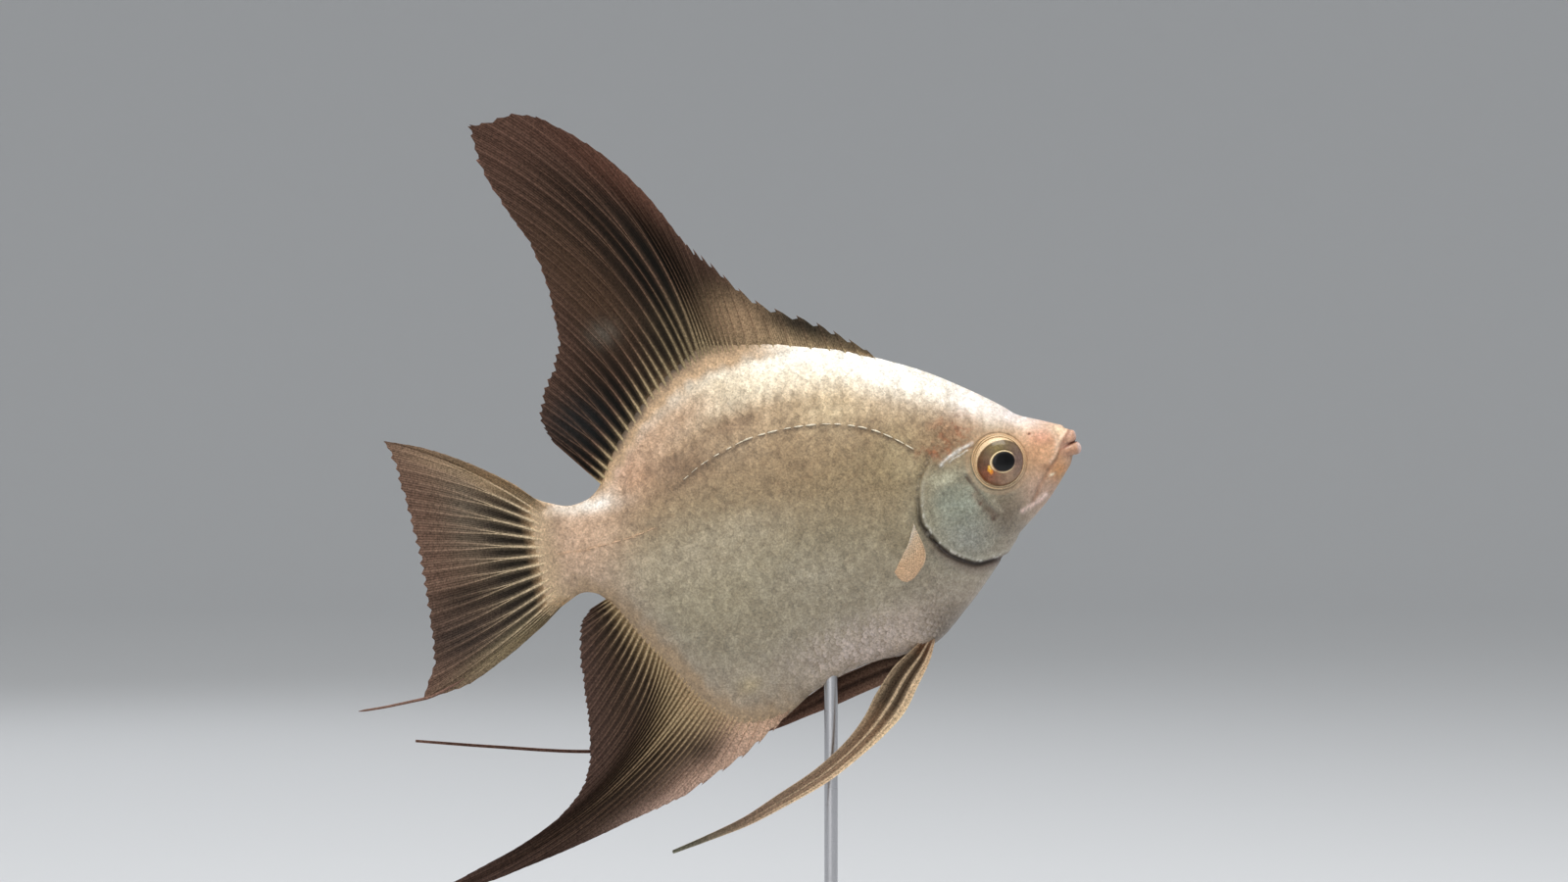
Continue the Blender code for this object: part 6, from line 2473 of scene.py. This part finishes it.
@dataclass
class Stand:
    """A dark wooden plinth with a moulded edge, and a steel rod in a small collar."""

    corner: float = 6.0
    corner_points: int = 14
    # The edge's profile: inset and height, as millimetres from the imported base's side and from its foot
    edge: Keys = ((1.2, 0), (0.35, 0.05), (0, 0.5), (0, 2.3), (0.25, 2.7), (0.95, 2.95), (1.15, 3.2),
                  (1.2, 3.6), (1.35, 4.5), (1.8, 5.3), (2.5, 5.8), (3.4, 6), (5.5, 6))
    collar_radius: float = 2.4
    collar_height: float = 1.8
    round_points: int = 64

    def ring(self, half_long: float, half_broad: float, corner: float) -> Array:
        """Draw a rounded rectangle.

        Args:
            half_long: half its length.
            half_broad: half its breadth.
            corner: the radius of its corners.

        Returns:
            Its (x, y) points, anticlockwise.
        """
        angle = np.linspace(0, np.pi / 2, self.corner_points)
        spots = []
        for sx, sy in ((1, 1), (-1, 1), (-1, -1), (1, -1)):
            spots.append(abreast(sx * (half_long - corner) + corner * np.cos(angle),
                                 sy * (half_broad - corner) + corner * np.sin(angle)))
            angle = angle + np.pi / 2
        return np.concatenate(spots)

    def stacked(self, name: str, outlines: list[tuple[Array, float]], middle: Array,
                sharp_degrees: float) -> bpy.types.Object:
        """Make a closed piece from level outlines.

        Args:
            name: the piece's name.
            outlines: each outline's (x, y) points about the middle, and its height, from the foot up.
            middle: the (x, y) place of the middle.
            sharp_degrees: the angle past which an edge is drawn sharp.

        Returns:
            The piece.
        """
        count, rings = len(outlines[0][0]), len(outlines)
        points = [abreast(*(flat + middle).T, height) for flat, height in outlines]
        points += [np.array([[*middle, outlines[end][1]]]) for end in (0, -1)]
        faces = [grid_faces(rings, count, wrap=True), end_fans(count, (rings - 1) * count, rings * count)]
        return MeshParts(np.concatenate(points) * MM, faces).build(name, None, sharp_degrees)

    def build(self) -> None:
        """Make the plinth, the rod and its collar."""
        low, high = (np.array(corner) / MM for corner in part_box("stand_base"))
        half, top = (high - low) / 2, high[2]
        outlines = [(self.ring(*(half[:2] - inset), max(self.corner - 0.6 * inset, 1.5)), low[2] + height)
                    for inset, height in self.edge]
        plinth = self.stacked("stand_plinth", outlines, (low + high)[:2] / 2, 40.0)
        fit_piece(plinth, WoodFinish(), "wood", "stand_base")
        low, high = (np.array(corner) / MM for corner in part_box("stand_rod"))
        radius, broad, rim = (high[0] - low[0]) / 2, self.collar_radius, top + self.collar_height
        post = ((radius - 0.15, low[2]), (radius, low[2] + 0.15), (radius, high[2] - 0.3),
                (radius - 0.3, high[2]))
        collar = ((broad + 0.5, top - 0.2), (broad + 0.5, top + 0.3), (broad + 0.2, top + 0.55),
                  (broad - 0.3, top + 0.8), (broad - 0.5, rim - 0.3), (broad - 0.75, rim),
                  (radius + 0.02, rim))
        around = all_round(self.round_points)
        for name, profile, nodes in (("stand_post", post, ("stand_rod",)), ("stand_collar", collar, ())):
            outlines = [(abreast(r * np.cos(around), r * np.sin(around)), height) for r, height in profile]
            piece = self.stacked(name, outlines, (low + high)[:2] / 2, 35.0)
            fit_piece(piece, SteelFinish(), "steel", *nodes)


# Studio


@dataclass
class Studio:
    """The pale floor and backdrop, the soft lights and the camera."""

    pane_width: float = 234.43  # millimetres across the view at the fish's midplane
    snout_right_of_middle: float = 43.96
    snout_below_middle: float = 0.44
    lens: float = 100.0
    sensor: float = 36.0
    floor_radius: float = 1500.0
    wall_radius: float = 2600.0
    wall_height: float = 1700.0
    floor_shade: Shade = (205, 208, 213)
    bend_points: int = 24
    round_points: int = 96
    aim_height: float = 0.08  # metres, of the place that the lamps face

    def backdrop(self) -> None:
        """Make the floor, which sweeps up all round into a pale wall."""
        bend = self.wall_radius - self.floor_radius
        turn = np.linspace(0, np.pi / 2, self.bend_points)
        sweep = self.floor_radius + bend * np.sin(turn)
        radii = np.concatenate([[1.0, 300.0, 800.0], sweep, [self.wall_radius]])
        heights = np.concatenate([[0.0] * 3, bend * (1 - np.cos(turn)), [self.wall_height]])[:, None]
        around = all_round(self.round_points)
        points = abreast(radii[:, None] * np.cos(around), radii[:, None] * np.sin(around), heights)
        faces = grid_faces(len(radii), self.round_points, wrap=True)[:, ::-1]
        floor = MeshParts(points.reshape(-1, 3) * MM, [faces])
        piece = floor.build("floor", pose=None)
        paper = Sheet("studio_paper", {"Base Color": (*linear(*self.floor_shade), 1), "Roughness": 0.9,
                                       "Specular IOR Level": 0.1})
        piece.data.materials.append(paper.material)

    def light(self, name: str, place: tuple[float, float, float], size: float, power: float,
            shade: tuple[float, float, float] = (1.0, 1.0, 1.0)) -> None:
        """Hang a soft square lamp that faces the fish.

        Args:
            name: the lamp's name.
            place: where it hangs, in millimetres.
            size: its side, in millimetres.
            power: its power in watts.
            shade: its colour.
        """
        lamp = bpy.data.lights.new(name, "AREA")
        lamp.size = size * MM
        lamp.energy = power
        lamp.color = shade
        holder = bpy.data.objects.new(name, lamp)
        spot = Vector(place) * MM
        holder.location = spot
        holder.rotation_euler = (Vector((0, 0, self.aim_height)) - spot).to_track_quat("-Z", "Y").to_euler()
        holder.visible_camera = False
        bpy.context.scene.collection.objects.link(holder)

    def camera(self) -> None:
        """Place the camera level with the fish, looking straight at its right side."""
        snout = POSE.place(np.zeros(3)) / MM
        away = self.lens * self.pane_width / self.sensor
        view = bpy.data.cameras.new("camera")
        view.lens = self.lens
        view.sensor_width = self.sensor
        view.clip_start, view.clip_end = 0.01, 10.0
        holder = bpy.data.objects.new("camera", view)
        place = (snout[0] - self.snout_right_of_middle, -away, snout[2] + self.snout_below_middle)
        holder.location = Vector(place) * MM
        holder.rotation_euler = (math.pi / 2, 0, 0)
        bpy.context.scene.collection.objects.link(holder)
        bpy.context.scene.camera = holder

    def build(self) -> None:
        """Set up the studio."""
        self.backdrop()
        self.light("key", (60, -160, 620), 380, 3.0, (1.0, 0.985, 0.96))
        self.light("front", (-200, -700, 300), 600, 1.2, (1.0, 0.985, 0.955))
        self.light("rear", (-300, 500, 450), 500, 0.8)
        world = bpy.data.worlds.new("room")
        world.use_nodes = True
        sky = world.node_tree.nodes["Background"]
        sky.inputs["Color"].default_value = (1.0, 0.99, 0.95, 1)
        sky.inputs["Strength"].default_value = 0.6
        bpy.context.scene.world = world
        bpy.context.scene.view_settings.view_transform = "Standard"
        self.camera()


def main() -> None:
    """Build the fish, its stand and the studio, in order."""
    logging.basicConfig(level=logging.INFO, format="%(name)s %(message)s")
    charts = Skin().build()
    Coat().build(charts)
    Fins().build()
    for side in Side:
        EyeBall().build(side)
    Stand().build()
    Studio().build()


if __name__ == "__main__":
    main()
